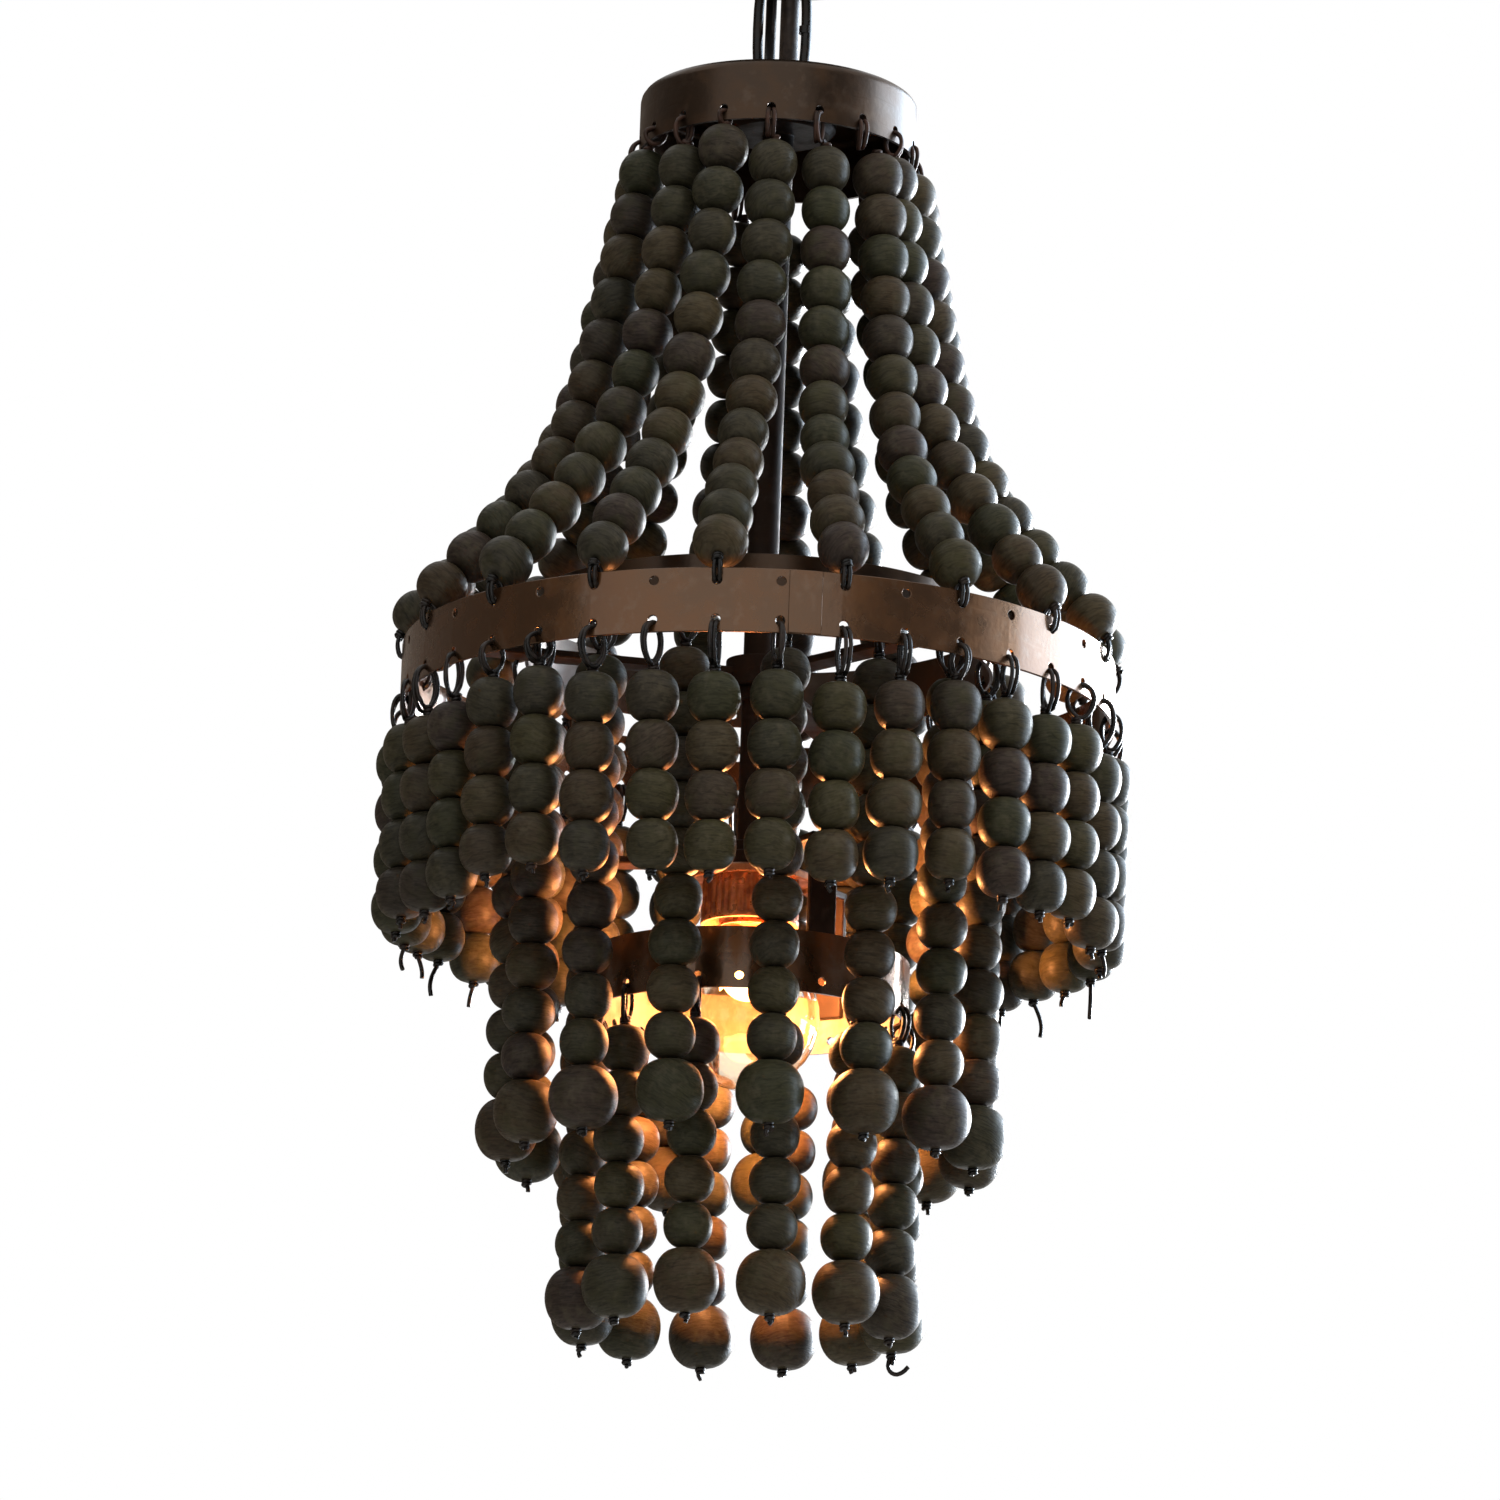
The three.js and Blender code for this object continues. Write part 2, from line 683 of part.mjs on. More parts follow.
// Crown strands leave the cap almost upright, turn outwards at the waist and end above the ring.
function makeCrownStrand() {
  const capWall = (capWidth - sheet) / 2;
  const ring = mainRingWidth / 2;
  const start = new THREE.Vector2(capWidth / 2, -crownFirstDrop);
  const waist = new THREE.Vector2(crownWaistWidth / 2, -crownWaistDrop);
  const end = new THREE.Vector2(ring - crownEndInset, -mainRingDrop + crownEndRise);
  const curve = new THREE.CubicBezierCurve(start, waist, waist, end);
  const beads = curve.getSpacedPoints(crownBeads - 1).map((point) => ({
    centre: point.toArray(), width: beadWidth, height: beadHeight,
  }));
  const bar = hookBar(-mainRingDrop - hookHoleEdge);
  return beadStrand({
    topWire: hookPlaces(capWall, -capHeight + hookHoleEdge),
    beads,
    bottomWire: [
      [ring + hookReach, -mainRingDrop + wireWidth],
      [ring + hookReach, bar],
      [ring - hookReach, bar],
    ],
  });
}

function makeInnerStrand() {
  const radius = secondRingWidth / 2;
  const holeHeight = secondRingBottom + hookHoleEdge;
  return hangingStrand({
    radius,
    holeHeight,
    hookDrop: innerHookDrop,
    spacing: tierSpacing,
    smallBeads: innerBeads,
    endBead: true,
    topWire: hookPlaces(radius, holeHeight),
  });
}

function makeLowerStrand() {
  const radius = lowerRingWidth / 2;
  const holeHeight = lowerRingBottom + hookHoleEdge;
  return hangingStrand({
    radius,
    holeHeight,
    hookDrop: lowerHookDrop,
    spacing: tierSpacing,
    smallBeads: lowerBeads,
    endBead: true,
    topWire: hookPlaces(radius, holeHeight),
  });
}

function piece(name, geometry, material) {
  const mesh = new THREE.Mesh(geometry, material);
  mesh.name = name;
  return mesh;
}

// Copies of one strand, numbered round the axis.
function strandSet(label, geometry, count, phase) {
  return around(count, phase, (angle, index) => {
    const strand = piece(`${label}_${String(index + 1).padStart(2, '0')}`, geometry, materials.wood);
    strand.rotation.z = angle - Math.PI / 2;
    return strand;
  });
}

const canopyLoop = makeLoop({
  bar: canopyLoopBar,
  flangeFace: canopyFlangeTop - flangeThickness,
  nippleEnd: -canopyHeight + sheet + seatGap + nutHeight + wireWidth,
  up: -1,
  nut: [-canopyHeight + sheet + seatGap, -canopyHeight + sheet + seatGap + nutHeight],
});
const crownLoop = makeLoop({
  bar: crownLoopBar,
  flangeFace: crownFlangeTop,
  nippleEnd: crownTop + housingTop - nippleDepth + seatGap,
  up: 1,
});

const ceiling = new THREE.Group();
ceiling.add(
  piece('ceiling_crossbar', makeStrap(), materials.iron),
  piece('ceiling_canopy', makeCanopy(), materials.bronze),
  piece('canopy_loop', canopyLoop, materials.bronze),
);

const suspension = new THREE.Group();
suspension.add(piece('chain_link', makeLink(), materials.iron));
suspension.add(...cordRoutes.map((route) => piece(route.name, makeCord(route), route.material)));

const fixture = new THREE.Group();
fixture.position.z = crownTop;
fixture.add(
  piece('crown_cap', makeCrownCap(), materials.bronze),
  piece('stem_tube', makeStem(), materials.bronze),
  piece('main_spider', makeMainSpider(), materials.bronze),
  piece('main_ring', makeMainRing(), materials.bronze),
  piece('second_ring', makeSecondRing(), materials.bronze),
  piece('lower_ring', makeLowerRing(), materials.bronze),
  piece('lamp_socket', makeSocket(), materials.socket),
  piece('bulb', makeBulb(), materials.glass),
  ...strandSet('crown_strand', makeCrownStrand(), crownStrands, mainPhase),
  ...strandSet('inner_strand', makeInnerStrand(), innerStrands, innerPhase),
  ...strandSet('lower_strand', makeLowerStrand(), lowerStrands, lowerPhase),
);

const chandelier = new THREE.Group();
chandelier.add(ceiling, suspension, piece('crown_loop', crownLoop, materials.bronze), fixture);

export default chandelier;
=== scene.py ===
import bpy
import bmesh
import math
import random
from mathutils import Matrix, Quaternion, Vector, noise


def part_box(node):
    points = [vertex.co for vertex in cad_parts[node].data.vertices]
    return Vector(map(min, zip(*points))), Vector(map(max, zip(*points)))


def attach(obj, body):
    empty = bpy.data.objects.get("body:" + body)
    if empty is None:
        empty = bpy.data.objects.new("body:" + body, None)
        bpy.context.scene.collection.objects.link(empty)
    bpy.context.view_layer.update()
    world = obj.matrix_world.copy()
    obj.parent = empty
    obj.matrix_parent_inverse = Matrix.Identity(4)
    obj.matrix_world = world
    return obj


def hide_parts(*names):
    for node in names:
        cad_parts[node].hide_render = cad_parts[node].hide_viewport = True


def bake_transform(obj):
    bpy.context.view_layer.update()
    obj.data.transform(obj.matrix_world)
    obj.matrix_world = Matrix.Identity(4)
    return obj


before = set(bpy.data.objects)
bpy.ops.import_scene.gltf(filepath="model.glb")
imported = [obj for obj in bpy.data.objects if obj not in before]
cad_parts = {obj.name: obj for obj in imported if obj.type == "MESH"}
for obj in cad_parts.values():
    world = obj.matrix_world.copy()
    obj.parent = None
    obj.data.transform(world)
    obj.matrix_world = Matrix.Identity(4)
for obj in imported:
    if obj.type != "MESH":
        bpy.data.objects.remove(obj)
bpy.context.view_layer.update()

# Sizes in the dictionaries are millimetres, and heights there count from the crown's top.
mm = 0.001
fullTurn = 2 * math.pi
upward = Vector((0, 0, 1))
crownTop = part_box("crown_cap")[1].z
smoothLevels = 2
sharpAngle = 35


def spot(radius, angle, height):
    # a place round the axis: angle in degrees from the front towards the right
    turn = math.radians(angle)
    return Vector((radius * math.sin(turn) * mm, -radius * math.cos(turn) * mm, crownTop + height * mm))


def outward(angle):
    turn = math.radians(angle)
    return Vector((math.sin(turn), -math.cos(turn), 0))


def anglesRound(count, phase=0):
    return [phase + 360 * index / count for index in range(count)]


def arc(radius, start, end, steps, centre):
    # (across, up) places along an arc, turned in radians from the across direction
    turns = [start + (end - start) * step / steps for step in range(steps + 1)]
    return [(centre[0] + radius * math.cos(turn), centre[1] + radius * math.sin(turn)) for turn in turns]


def addObject(name, data):
    made = bpy.data.objects.new(name, data)
    bpy.context.scene.collection.objects.link(made)
    return made


# Camera, at the height and tilt of the photo's viewpoint, well below the lamp and far away
cameraSet = {
    "distance": 3.6, "elevation": -14, "roll": 2.1, "frameWidth": 0.612, "aim": -278.5, "across": -2.4,
    "sensor": 36}


def makeCamera():
    tilt = math.radians(cameraSet["elevation"])
    back = Vector((0, -math.cos(tilt), math.sin(tilt)))
    lens = bpy.data.cameras.new("camera")
    lens.sensor_width = cameraSet["sensor"]
    lens.lens = cameraSet["sensor"] * cameraSet["distance"] / cameraSet["frameWidth"]
    camera = addObject("camera", lens)
    camera.location = spot(cameraSet["across"], 90, cameraSet["aim"]) + back * cameraSet["distance"]
    camera.rotation_mode = "QUATERNION"
    roll = Quaternion((0, 0, 1), math.radians(cameraSet["roll"]))
    camera.rotation_quaternion = (-back).to_track_quat("-Z", "Y") @ roll
    bpy.context.scene.camera = camera


makeCamera()
print("camera placed")


# Shader node helpers and the effects that several finishes share
def plug(tree, socket, value):
    # links another node's output, or sets a plain value
    if isinstance(value, bpy.types.NodeSocket):
        tree.links.new(value, socket)
    elif socket.type == "RGBA":
        socket.default_value = (*value, 1.0)
    else:
        socket.default_value = value


def feed(tree, node, values):
    for name, value in values.items():
        plug(tree, node.inputs[name], value)


def put(tree, kind, values=None, **settings):
    # adds a node, sets its properties and feeds its inputs
    node = tree.nodes.new(kind)
    for name, value in settings.items():
        setattr(node, name, value)
    feed(tree, node, values or {})
    return node


def maths(tree, operation, first, second):
    return put(tree, "ShaderNodeMath", {0: first, 1: second}, operation=operation).outputs[0]


def rangeOf(tree, source, fromMin, fromMax, toMin=0.0, toMax=1.0):
    values = {"Value": source, "From Min": fromMin, "From Max": fromMax, "To Min": toMin, "To Max": toMax}
    return put(tree, "ShaderNodeMapRange", values).outputs["Result"]


def spread(tree, mask, low, high):
    return rangeOf(tree, mask, 0.0, 1.0, low, high)


def mixColours(tree, share, first, second, blend="MIX"):
    values = {0: share, 6: first, 7: second}
    return put(tree, "ShaderNodeMix", values, data_type="RGBA", blend_type=blend).outputs[2]


def cloud(tree, place, scale, detail, distortion=0.0):
    values = {"Vector": place, "Scale": scale, "Detail": detail, "Distortion": distortion}
    return put(tree, "ShaderNodeTexNoise", values).outputs["Fac"]


def stretched(tree, place, scale):
    return put(tree, "ShaderNodeMapping", {"Vector": place, "Scale": scale}).outputs[0]


def addGroup(name, inputs, output, build):
    group = bpy.data.node_groups.new(name, "ShaderNodeTree")
    for label, kind, value in inputs:
        made = group.interface.new_socket(label, in_out="INPUT", socket_type="NodeSocket" + kind)
        if value is not None:
            made.default_value = value
    group.interface.new_socket(output, in_out="OUTPUT", socket_type="NodeSocketFloat")
    start = group.nodes.new("NodeGroupInput")
    end = group.nodes.new("NodeGroupOutput")
    plug(group, end.inputs[output], build(group, start.outputs))
    return group


patchSet = {"broadDetail": 4.0, "finer": 3.7, "fineDetail": 6.0}
scratchSet = {"pitDetail": 5.0, "lineDetail": 3.0, "cutFrom": 0.30, "cutTo": 0.42}


def buildPatches(group, given):
    # soft patches in two sizes, as an uneven wash or an old finish has
    finer = maths(group, "MULTIPLY", given["Scale"], patchSet["finer"])
    broad = cloud(group, given["Place"], given["Scale"], patchSet["broadDetail"])
    small = cloud(group, given["Place"], finer, patchSet["fineDetail"])
    mean = maths(group, "MULTIPLY", maths(group, "ADD", broad, small), 0.5)
    return rangeOf(group, mean, given["Low"], given["High"])


def buildFineBump(group, given):
    # pits and hairline scratches that feed a bump's height
    pits = cloud(group, given["Place"], given["Pits"], scratchSet["pitDetail"])
    drawn = stretched(group, given["Place"], given["Stretch"])
    lines = cloud(group, drawn, given["Lines"], scratchSet["lineDetail"])
    cuts = rangeOf(group, lines, scratchSet["cutFrom"], scratchSet["cutTo"])
    return maths(group, "MULTIPLY", pits, cuts)


patches = addGroup("patches", [
    ("Place", "Vector", None), ("Scale", "Float", 20.0), ("Low", "Float", 0.4), ("High", "Float", 0.62)],
    "Mask", buildPatches)
fineBump = addGroup("fineBump", [
    ("Place", "Vector", None), ("Pits", "Float", 400.0), ("Lines", "Float", 60.0),
    ("Stretch", "Vector", (1.0, 1.0, 6.0))], "Height", buildFineBump)


def useGroup(tree, group, place, values):
    return put(tree, "ShaderNodeGroup", {"Place": place, **values}, node_tree=group).outputs[0]


def newMaterial(name):
    material = bpy.data.materials.new(name)
    material.use_nodes = True
    tree = material.node_tree
    return material, tree, tree.nodes["Principled BSDF"]


def objectPlace(tree):
    return put(tree, "ShaderNodeTexCoord").outputs["Object"]


def addBump(tree, shader, height, relief):
    strength, distance = relief
    bump = put(tree, "ShaderNodeBump", {"Height": height, "Strength": strength, "Distance": distance * mm})
    plug(tree, shader.inputs["Normal"], bump.outputs[0])


# Finishes: a relief is a bump's strength and depth
bronzeLook = {
    "paint": (0.042, 0.024, 0.013), "rust": (0.060, 0.030, 0.013), "worn": (0.085, 0.058, 0.040),
    "metallic": 0.85, "smooth": 0.30, "rough": 0.46, "gloss": 0.25, "coat": 0.32, "coatRough": 0.28}
bandLook = {
    "paint": (0.110, 0.056, 0.026), "rust": (0.135, 0.060, 0.023), "worn": (0.160, 0.100, 0.062),
    "metallic": 0.85, "smooth": 0.22, "rough": 0.36, "gloss": 0.25, "coat": 0.6, "coatRough": 0.14}
# stem, housing and arms: a darker copy of the bronze, with the shade inside the bell and under the cap
# painted in
shadedStemLook = {
    "paint": (0.020, 0.012, 0.008), "rust": (0.032, 0.017, 0.010), "worn": (0.046, 0.033, 0.025),
    "metallic": 0.25, "smooth": 0.40, "rough": 0.60, "gloss": 0.12, "coat": 0.0, "coatRough": 0.3}
bronzeWear = {
    "rust": {"Scale": 26.0, "Low": 0.44, "High": 0.60}, "worn": {"Scale": 70.0, "Low": 0.54, "High": 0.68},
    "wornShare": 0.55, "scratches": {"Pits": 520.0, "Lines": 40.0, "Stretch": (1.0, 1.0, 7.0)},
    "relief": (0.35, 0.25)}
# the lower band's inner face: paler than the bronze, with the bulb's light on it painted into the colour
litInsideLook = {
    "main": (0.20, 0.17, 0.14), "stain": (0.12, 0.085, 0.06), "metallic": 0.4, "smooth": 0.42,
    "patch": {"Scale": 45.0, "Low": 0.44, "High": 0.62}}
ironLook = {
    "main": (0.007, 0.0062, 0.0055), "stain": (0.026, 0.016, 0.011), "metallic": 0.3, "smooth": 0.26,
    "rough": 0.45, "gloss": 0.4, "patch": {"Scale": 90.0, "Low": 0.46, "High": 0.62}}
rustyLook = {
    "main": (0.016, 0.010, 0.007), "stain": (0.060, 0.028, 0.018), "metallic": 0.3, "smooth": 0.34,
    "rough": 0.5, "gloss": 0.3, "patch": {"Scale": 90.0, "Low": 0.36, "High": 0.58}}
# lamp holder and bulb base: their bright orange colours are the bulb's glow painted in, since the bulb's
# lamp does not reach the cup's outside
litSocketLook = {
    "main": (0.50, 0.22, 0.09), "stain": (0.20, 0.085, 0.038), "metallic": 0.6, "smooth": 0.24,
    "rough": 0.5, "patch": {"Scale": 60.0, "Low": 0.42, "High": 0.60},
    "scratches": {"Pits": 700.0, "Lines": 90.0}, "relief": (0.2, 0.15)}
sheathWear = {
    "patch": {"Scale": 110.0, "Low": 0.45, "High": 0.62}, "scratches": {"Pits": 900.0, "Lines": 120.0},
    "relief": (0.15, 0.1)}
brownCordLook = {
    "main": (0.052, 0.031, 0.020), "stain": (0.026, 0.016, 0.011),
    "smooth": 0.42, "rough": 0.60, **sheathWear}
blackCordLook = {
    "main": (0.011, 0.010, 0.009), "stain": (0.006, 0.0055, 0.005),
    "smooth": 0.28, "rough": 0.46, **sheathWear}
woodLook = {
    "tones": [(0.0, (0.052, 0.045, 0.022)), (0.22, (0.041, 0.036, 0.026)), (0.42, (0.040, 0.040, 0.022)),
              (0.6, (0.045, 0.032, 0.027)), (0.8, (0.064, 0.049, 0.027)), (1.0, (0.052, 0.036, 0.022))],
    "fibreStretch": (1.0, 1.0, 7.0), "fibreScale": 210.0, "fibreDetail": 6.0, "fibreBend": 0.6,
    "fibreFrom": 0.36, "fibreTo": 0.60, "grainDark": 0.66, "grainLight": 1.12,
    "rings": {"Scale": 62.0, "Distortion": 9.0, "Detail": 3.0, "Detail Scale": 1.2},
    "seamTo": 0.14, "seamDark": 0.74, "green": (0.050, 0.048, 0.022), "greenShare": 0.45,
    "greenPatch": {"Scale": 48.0, "Low": 0.50, "High": 0.64}, "dusty": (0.100, 0.085, 0.055),
    "dustyShare": 0.42, "dustyPatch": {"Scale": 95.0, "Low": 0.50, "High": 0.66},
    "gloss": 0.12, "smooth": 0.34, "rough": 0.50, "relief": (0.3, 0.3)}
glassLook = {
    "tint": (1.0, 0.93, 0.80), "smooth": 0.03, "hazy": 0.12, "bend": 1.45,
    "film": {"Scale": 40.0, "Low": 0.5, "High": 0.7}}
glowLook = {"colour": (1.0, 0.50, 0.14), "strength": 60.0}


def makeBronze(name, look):
    # paint that has rusted in broad patches and worn through in small ones, under a thin lacquer
    material, tree, shader = newMaterial(name)
    place = objectPlace(tree)
    rust = useGroup(tree, patches, place, bronzeWear["rust"])
    worn = useGroup(tree, patches, place, bronzeWear["worn"])
    painted = mixColours(tree, rust, look["paint"], look["rust"])
    soft = spread(tree, worn, 0.0, bronzeWear["wornShare"])
    feed(tree, shader, {
        "Base Color": mixColours(tree, soft, painted, look["worn"]),
        "Roughness": spread(tree, rust, look["smooth"], look["rough"]),
        "Metallic": look["metallic"], "Specular IOR Level": look["gloss"],
        "Coat Weight": look["coat"], "Coat Roughness": look["coatRough"]})
    addBump(tree, shader, useGroup(tree, fineBump, place, bronzeWear["scratches"]), bronzeWear["relief"])
    return material


def makeTwoTone(name, look):
    # stained patches on a main colour, and scratches where the look has them
    material, tree, shader = newMaterial(name)
    place = objectPlace(tree)
    stain = useGroup(tree, patches, place, look["patch"])
    roughness = look["smooth"]
    if "rough" in look:
        roughness = spread(tree, stain, roughness, look["rough"])
    feed(tree, shader, {
        "Base Color": mixColours(tree, stain, look["main"], look["stain"]), "Roughness": roughness,
        "Metallic": look.get("metallic", 0.0), "Specular IOR Level": look.get("gloss", 0.5)})
    if "scratches" in look:
        addBump(tree, shader, useGroup(tree, fineBump, place, look["scratches"]), look["relief"])
    return material


def makeWood():
    # each bead carries its own tone and its own grain place, so no two are stained alike
    look = woodLook
    material, tree, shader = newMaterial("washedWood")
    tone = put(tree, "ShaderNodeAttribute", attribute_name="beadTone").outputs["Fac"]
    grain = put(tree, "ShaderNodeAttribute", attribute_name="beadGrain").outputs["Vector"]
    ramp = put(tree, "ShaderNodeValToRGB", {"Fac": tone})
    stops = ramp.color_ramp.elements
    stops[0].color = (*look["tones"][0][1], 1.0)
    stops[1].color = (*look["tones"][-1][1], 1.0)
    for position, value in look["tones"][1:-1]:
        stops.new(position).color = (*value, 1.0)
    drawn = stretched(tree, grain, look["fibreStretch"])
    fibres = cloud(tree, drawn, look["fibreScale"], look["fibreDetail"], look["fibreBend"])
    streak = rangeOf(tree, fibres, look["fibreFrom"], look["fibreTo"])
    rings = put(tree, "ShaderNodeTexWave", {"Vector": grain, **look["rings"]},
                wave_type="BANDS", bands_direction="Z")
    seam = rangeOf(tree, rings.outputs["Fac"], 0.0, look["seamTo"], look["seamDark"], 1.0)
    level = maths(tree, "MULTIPLY", spread(tree, streak, look["grainDark"], look["grainLight"]), seam)
    shade = put(tree, "ShaderNodeCombineColor", {0: level, 1: level, 2: level}).outputs[0]
    stained = mixColours(tree, 1.0, ramp.outputs["Color"], shade, "MULTIPLY")
    green = spread(tree, useGroup(tree, patches, grain, look["greenPatch"]), 0.0, look["greenShare"])
    dust = spread(tree, useGroup(tree, patches, grain, look["dustyPatch"]), 0.0, look["dustyShare"])
    washed = mixColours(tree, green, stained, look["green"])
    feed(tree, shader, {
        "Base Color": mixColours(tree, dust, washed, look["dusty"]),
        "Roughness": spread(tree, streak, look["rough"], look["smooth"]),
        "Specular IOR Level": look["gloss"]})
    addBump(tree, shader, level, look["relief"])
    return material


def makeGlass():
    material, tree, shader = newMaterial("clearGlass")
    film = useGroup(tree, patches, objectPlace(tree), glassLook["film"])
    feed(tree, shader, {
        "Base Color": glassLook["tint"], "Transmission Weight": 1.0, "IOR": glassLook["bend"],
        "Roughness": spread(tree, film, glassLook["smooth"], glassLook["hazy"])})
    return material


def makeGlow():
    material, tree, shader = newMaterial("filamentGlow")
    feed(tree, shader, {
        "Base Color": glowLook["colour"], "Emission Color": glowLook["colour"],
        "Emission Strength": glowLook["strength"]})
    return material


bronze = makeBronze("bronze", bronzeLook)
bandBronze = makeBronze("bandBronze", bandLook)
shadedStemBronze = makeBronze("shadedStemBronze", shadedStemLook)
litBandInside = makeTwoTone("litBandInside", litInsideLook)
iron = makeTwoTone("iron", ironLook)
rustyIron = makeTwoTone("rustyIron", rustyLook)
wood = makeWood()
litSocketMetal = makeTwoTone("litSocketMetal", litSocketLook)
brownSheath = makeTwoTone("brownSheath", brownCordLook)
blackSheath = makeTwoTone("blackSheath", blackCordLook)
clearGlass = makeGlass()
filamentGlow = makeGlow()
print("finishes ready")


# Mesh helpers
def newPiece(name, bm, material, sharp=sharpAngle):
    mesh = bpy.data.meshes.new(name)
    bm.to_mesh(mesh)
    bm.free()
    mesh.materials.append(material)
    mesh.shade_smooth()
    mesh.set_sharp_from_angle(angle=math.radians(sharp))
    return addObject(name, mesh)


def settle(piece, body, slotName, *nodes):
    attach(piece, body)
    if nodes:
        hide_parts(*nodes)
    return piece


def spinOutline(outline, steps, closed=False):
    # turns an outline of (radius, height) round the axis
    bm = bmesh.new()
    corners = [bm.verts.new(spot(radius, 90, height)) for radius, height in outline]
    pairs = list(zip(corners, corners[1:])) + ([(corners[-1], corners[0])] if closed else [])
    edges = [bm.edges.new(pair) for pair in pairs]
    bmesh.ops.spin(bm, geom=corners + edges, cent=(0, 0, 0), axis=upward, angle=fullTurn,
                   steps=steps, use_merge=True)
    bmesh.ops.remove_doubles(bm, verts=bm.verts, dist=0.01 * mm)
    bmesh.ops.recalc_face_normals(bm, faces=bm.faces)
    return bm


def addBar(bm, start, end, width, height, along):
    # a flat bar between two places; `along` is the direction that its width is measured in
    made = bmesh.ops.create_cube(bm, size=1.0)["verts"]
    run = end - start
    turn = Matrix((run.normalized(), along, run.normalized().cross(along))).transposed().to_4x4()
    scale = Matrix.Diagonal((run.length, width * mm, height * mm, 1.0))
    bmesh.ops.transform(bm, matrix=Matrix.Translation((start + end) / 2) @ turn @ scale, verts=made)


def softenEdges(piece, width, segments=2):
    bevel = piece.modifiers.new("edges", "BEVEL")
    bevel.width = width * mm
    bevel.segments = segments
    bevel.limit_method = "ANGLE"
    bevel.angle_limit = math.radians(40)
    bevel.harden_normals = False
    return piece


def applyModifiers(piece):
    graph = bpy.context.evaluated_depsgraph_get()
    made = bpy.data.meshes.new_from_object(piece.evaluated_get(graph))
    piece.modifiers.clear()
    old = piece.data
    piece.data = made
    bpy.data.meshes.remove(old)


def drillHoles(piece, places, width, depth):
    # cuts round holes at (place, direction) pairs
    bm = bmesh.new()
    for place, direction in places:
        made = bmesh.ops.create_cone(bm, cap_ends=True, segments=14, radius1=width / 2 * mm,
                                     radius2=width / 2 * mm, depth=depth * mm)["verts"]
        turn = direction.to_track_quat("Z", "Y").to_matrix().to_4x4()
        bmesh.ops.transform(bm, matrix=Matrix.Translation(place) @ turn, verts=made)
    cutter = newPiece(piece.name + "_drill", bm, bronze)
    cut = piece.modifiers.new("holes", "BOOLEAN")
    cut.object = cutter
    cut.operation = "DIFFERENCE"
    cut.solver = "EXACT"
    applyModifiers(piece)
    bpy.data.objects.remove(cutter)
    piece.data.shade_smooth()
    piece.data.set_sharp_from_angle(angle=math.radians(sharpAngle))


def wireMesh(name, runs, width, material, around=2, steps=3):
    # bends round wire through the given places; each run is (places, closed)
    line = bpy.data.curves.new(name, "CURVE")
    line.dimensions = "3D"
    line.bevel_depth = width / 2 * mm
    line.bevel_resolution = around
    line.use_fill_caps = True
    line.resolution_u = steps
    for places, closed in runs:
        spline = line.splines.new("BEZIER")
        spline.bezier_points.add(len(places) - 1)
        spline.use_cyclic_u = closed
        for point, place in zip(spline.bezier_points, places):
            point.co = place
            point.handle_left_type = "AUTO"
            point.handle_right_type = "AUTO"
    drawn = addObject(name + "_line", line)
    graph = bpy.context.evaluated_depsgraph_get()
    mesh = bpy.data.meshes.new_from_object(drawn.evaluated_get(graph))
    bpy.data.objects.remove(drawn)
    mesh.name = name
    mesh.materials.clear()
    mesh.materials.append(material)
    mesh.shade_smooth()
    return addObject(name, mesh)


# Cords, out of the canopy and down past or through the link into the crown: how far behind the axis
# each lies at even steps down
cordSet = {
    "supply_cord": {
        "side": 3.1, "width": 8.0, "finish": brownSheath, "slot": "brown_cord",
        "sway": [17, 17, 17.1, 17.4, 17.8, 18.2, 18.6, 18.8, 18.9, 18.8, 18.5, 18, 17.5, 17.1, 17, 17]},
    "earth_lead": {
        "side": -4.8, "width": 4.5, "finish": blackSheath, "slot": "black_cord",
        "sway": [15, 15, 14.9, 14.2, 12.8, 10.6, 7.7, 4.3, 0.4, -3.5, -7, -10.1, -12.6, -14.2, -14.9, -15]}}
cordReach = {"start": -20, "sunk": 1.5, "bendFrom": -26, "bendTo": 22}


def cordRoute(cord):
    start, end = cordReach["start"] * mm, crownTop - cordReach["sunk"] * mm
    steps = len(cord["sway"]) - 1
    return [(cord["side"] * mm, back * mm, start + (end - start) * step / steps)
            for step, back in enumerate(cord["sway"])]


def makeCords():
    for node, cord in cordSet.items():
        route = cordRoute(cord)
        places = [Vector(place) for place in route]
        piece = wireMesh(node + "_flex", [(places, False)], cord["width"], cord["finish"], 6, 4)
        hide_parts(node)
        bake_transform(piece)


makeCords()
print("cords routed")


# Beads
beadSet = {
    "segments": 10, "rings": 6, "flatPole": 0.90, "sizeSpread": 0.028, "tilt": 4.0, "grainOffset": 900,
    "grainLean": 0.25}
fitShares = (1.0, 1.0)


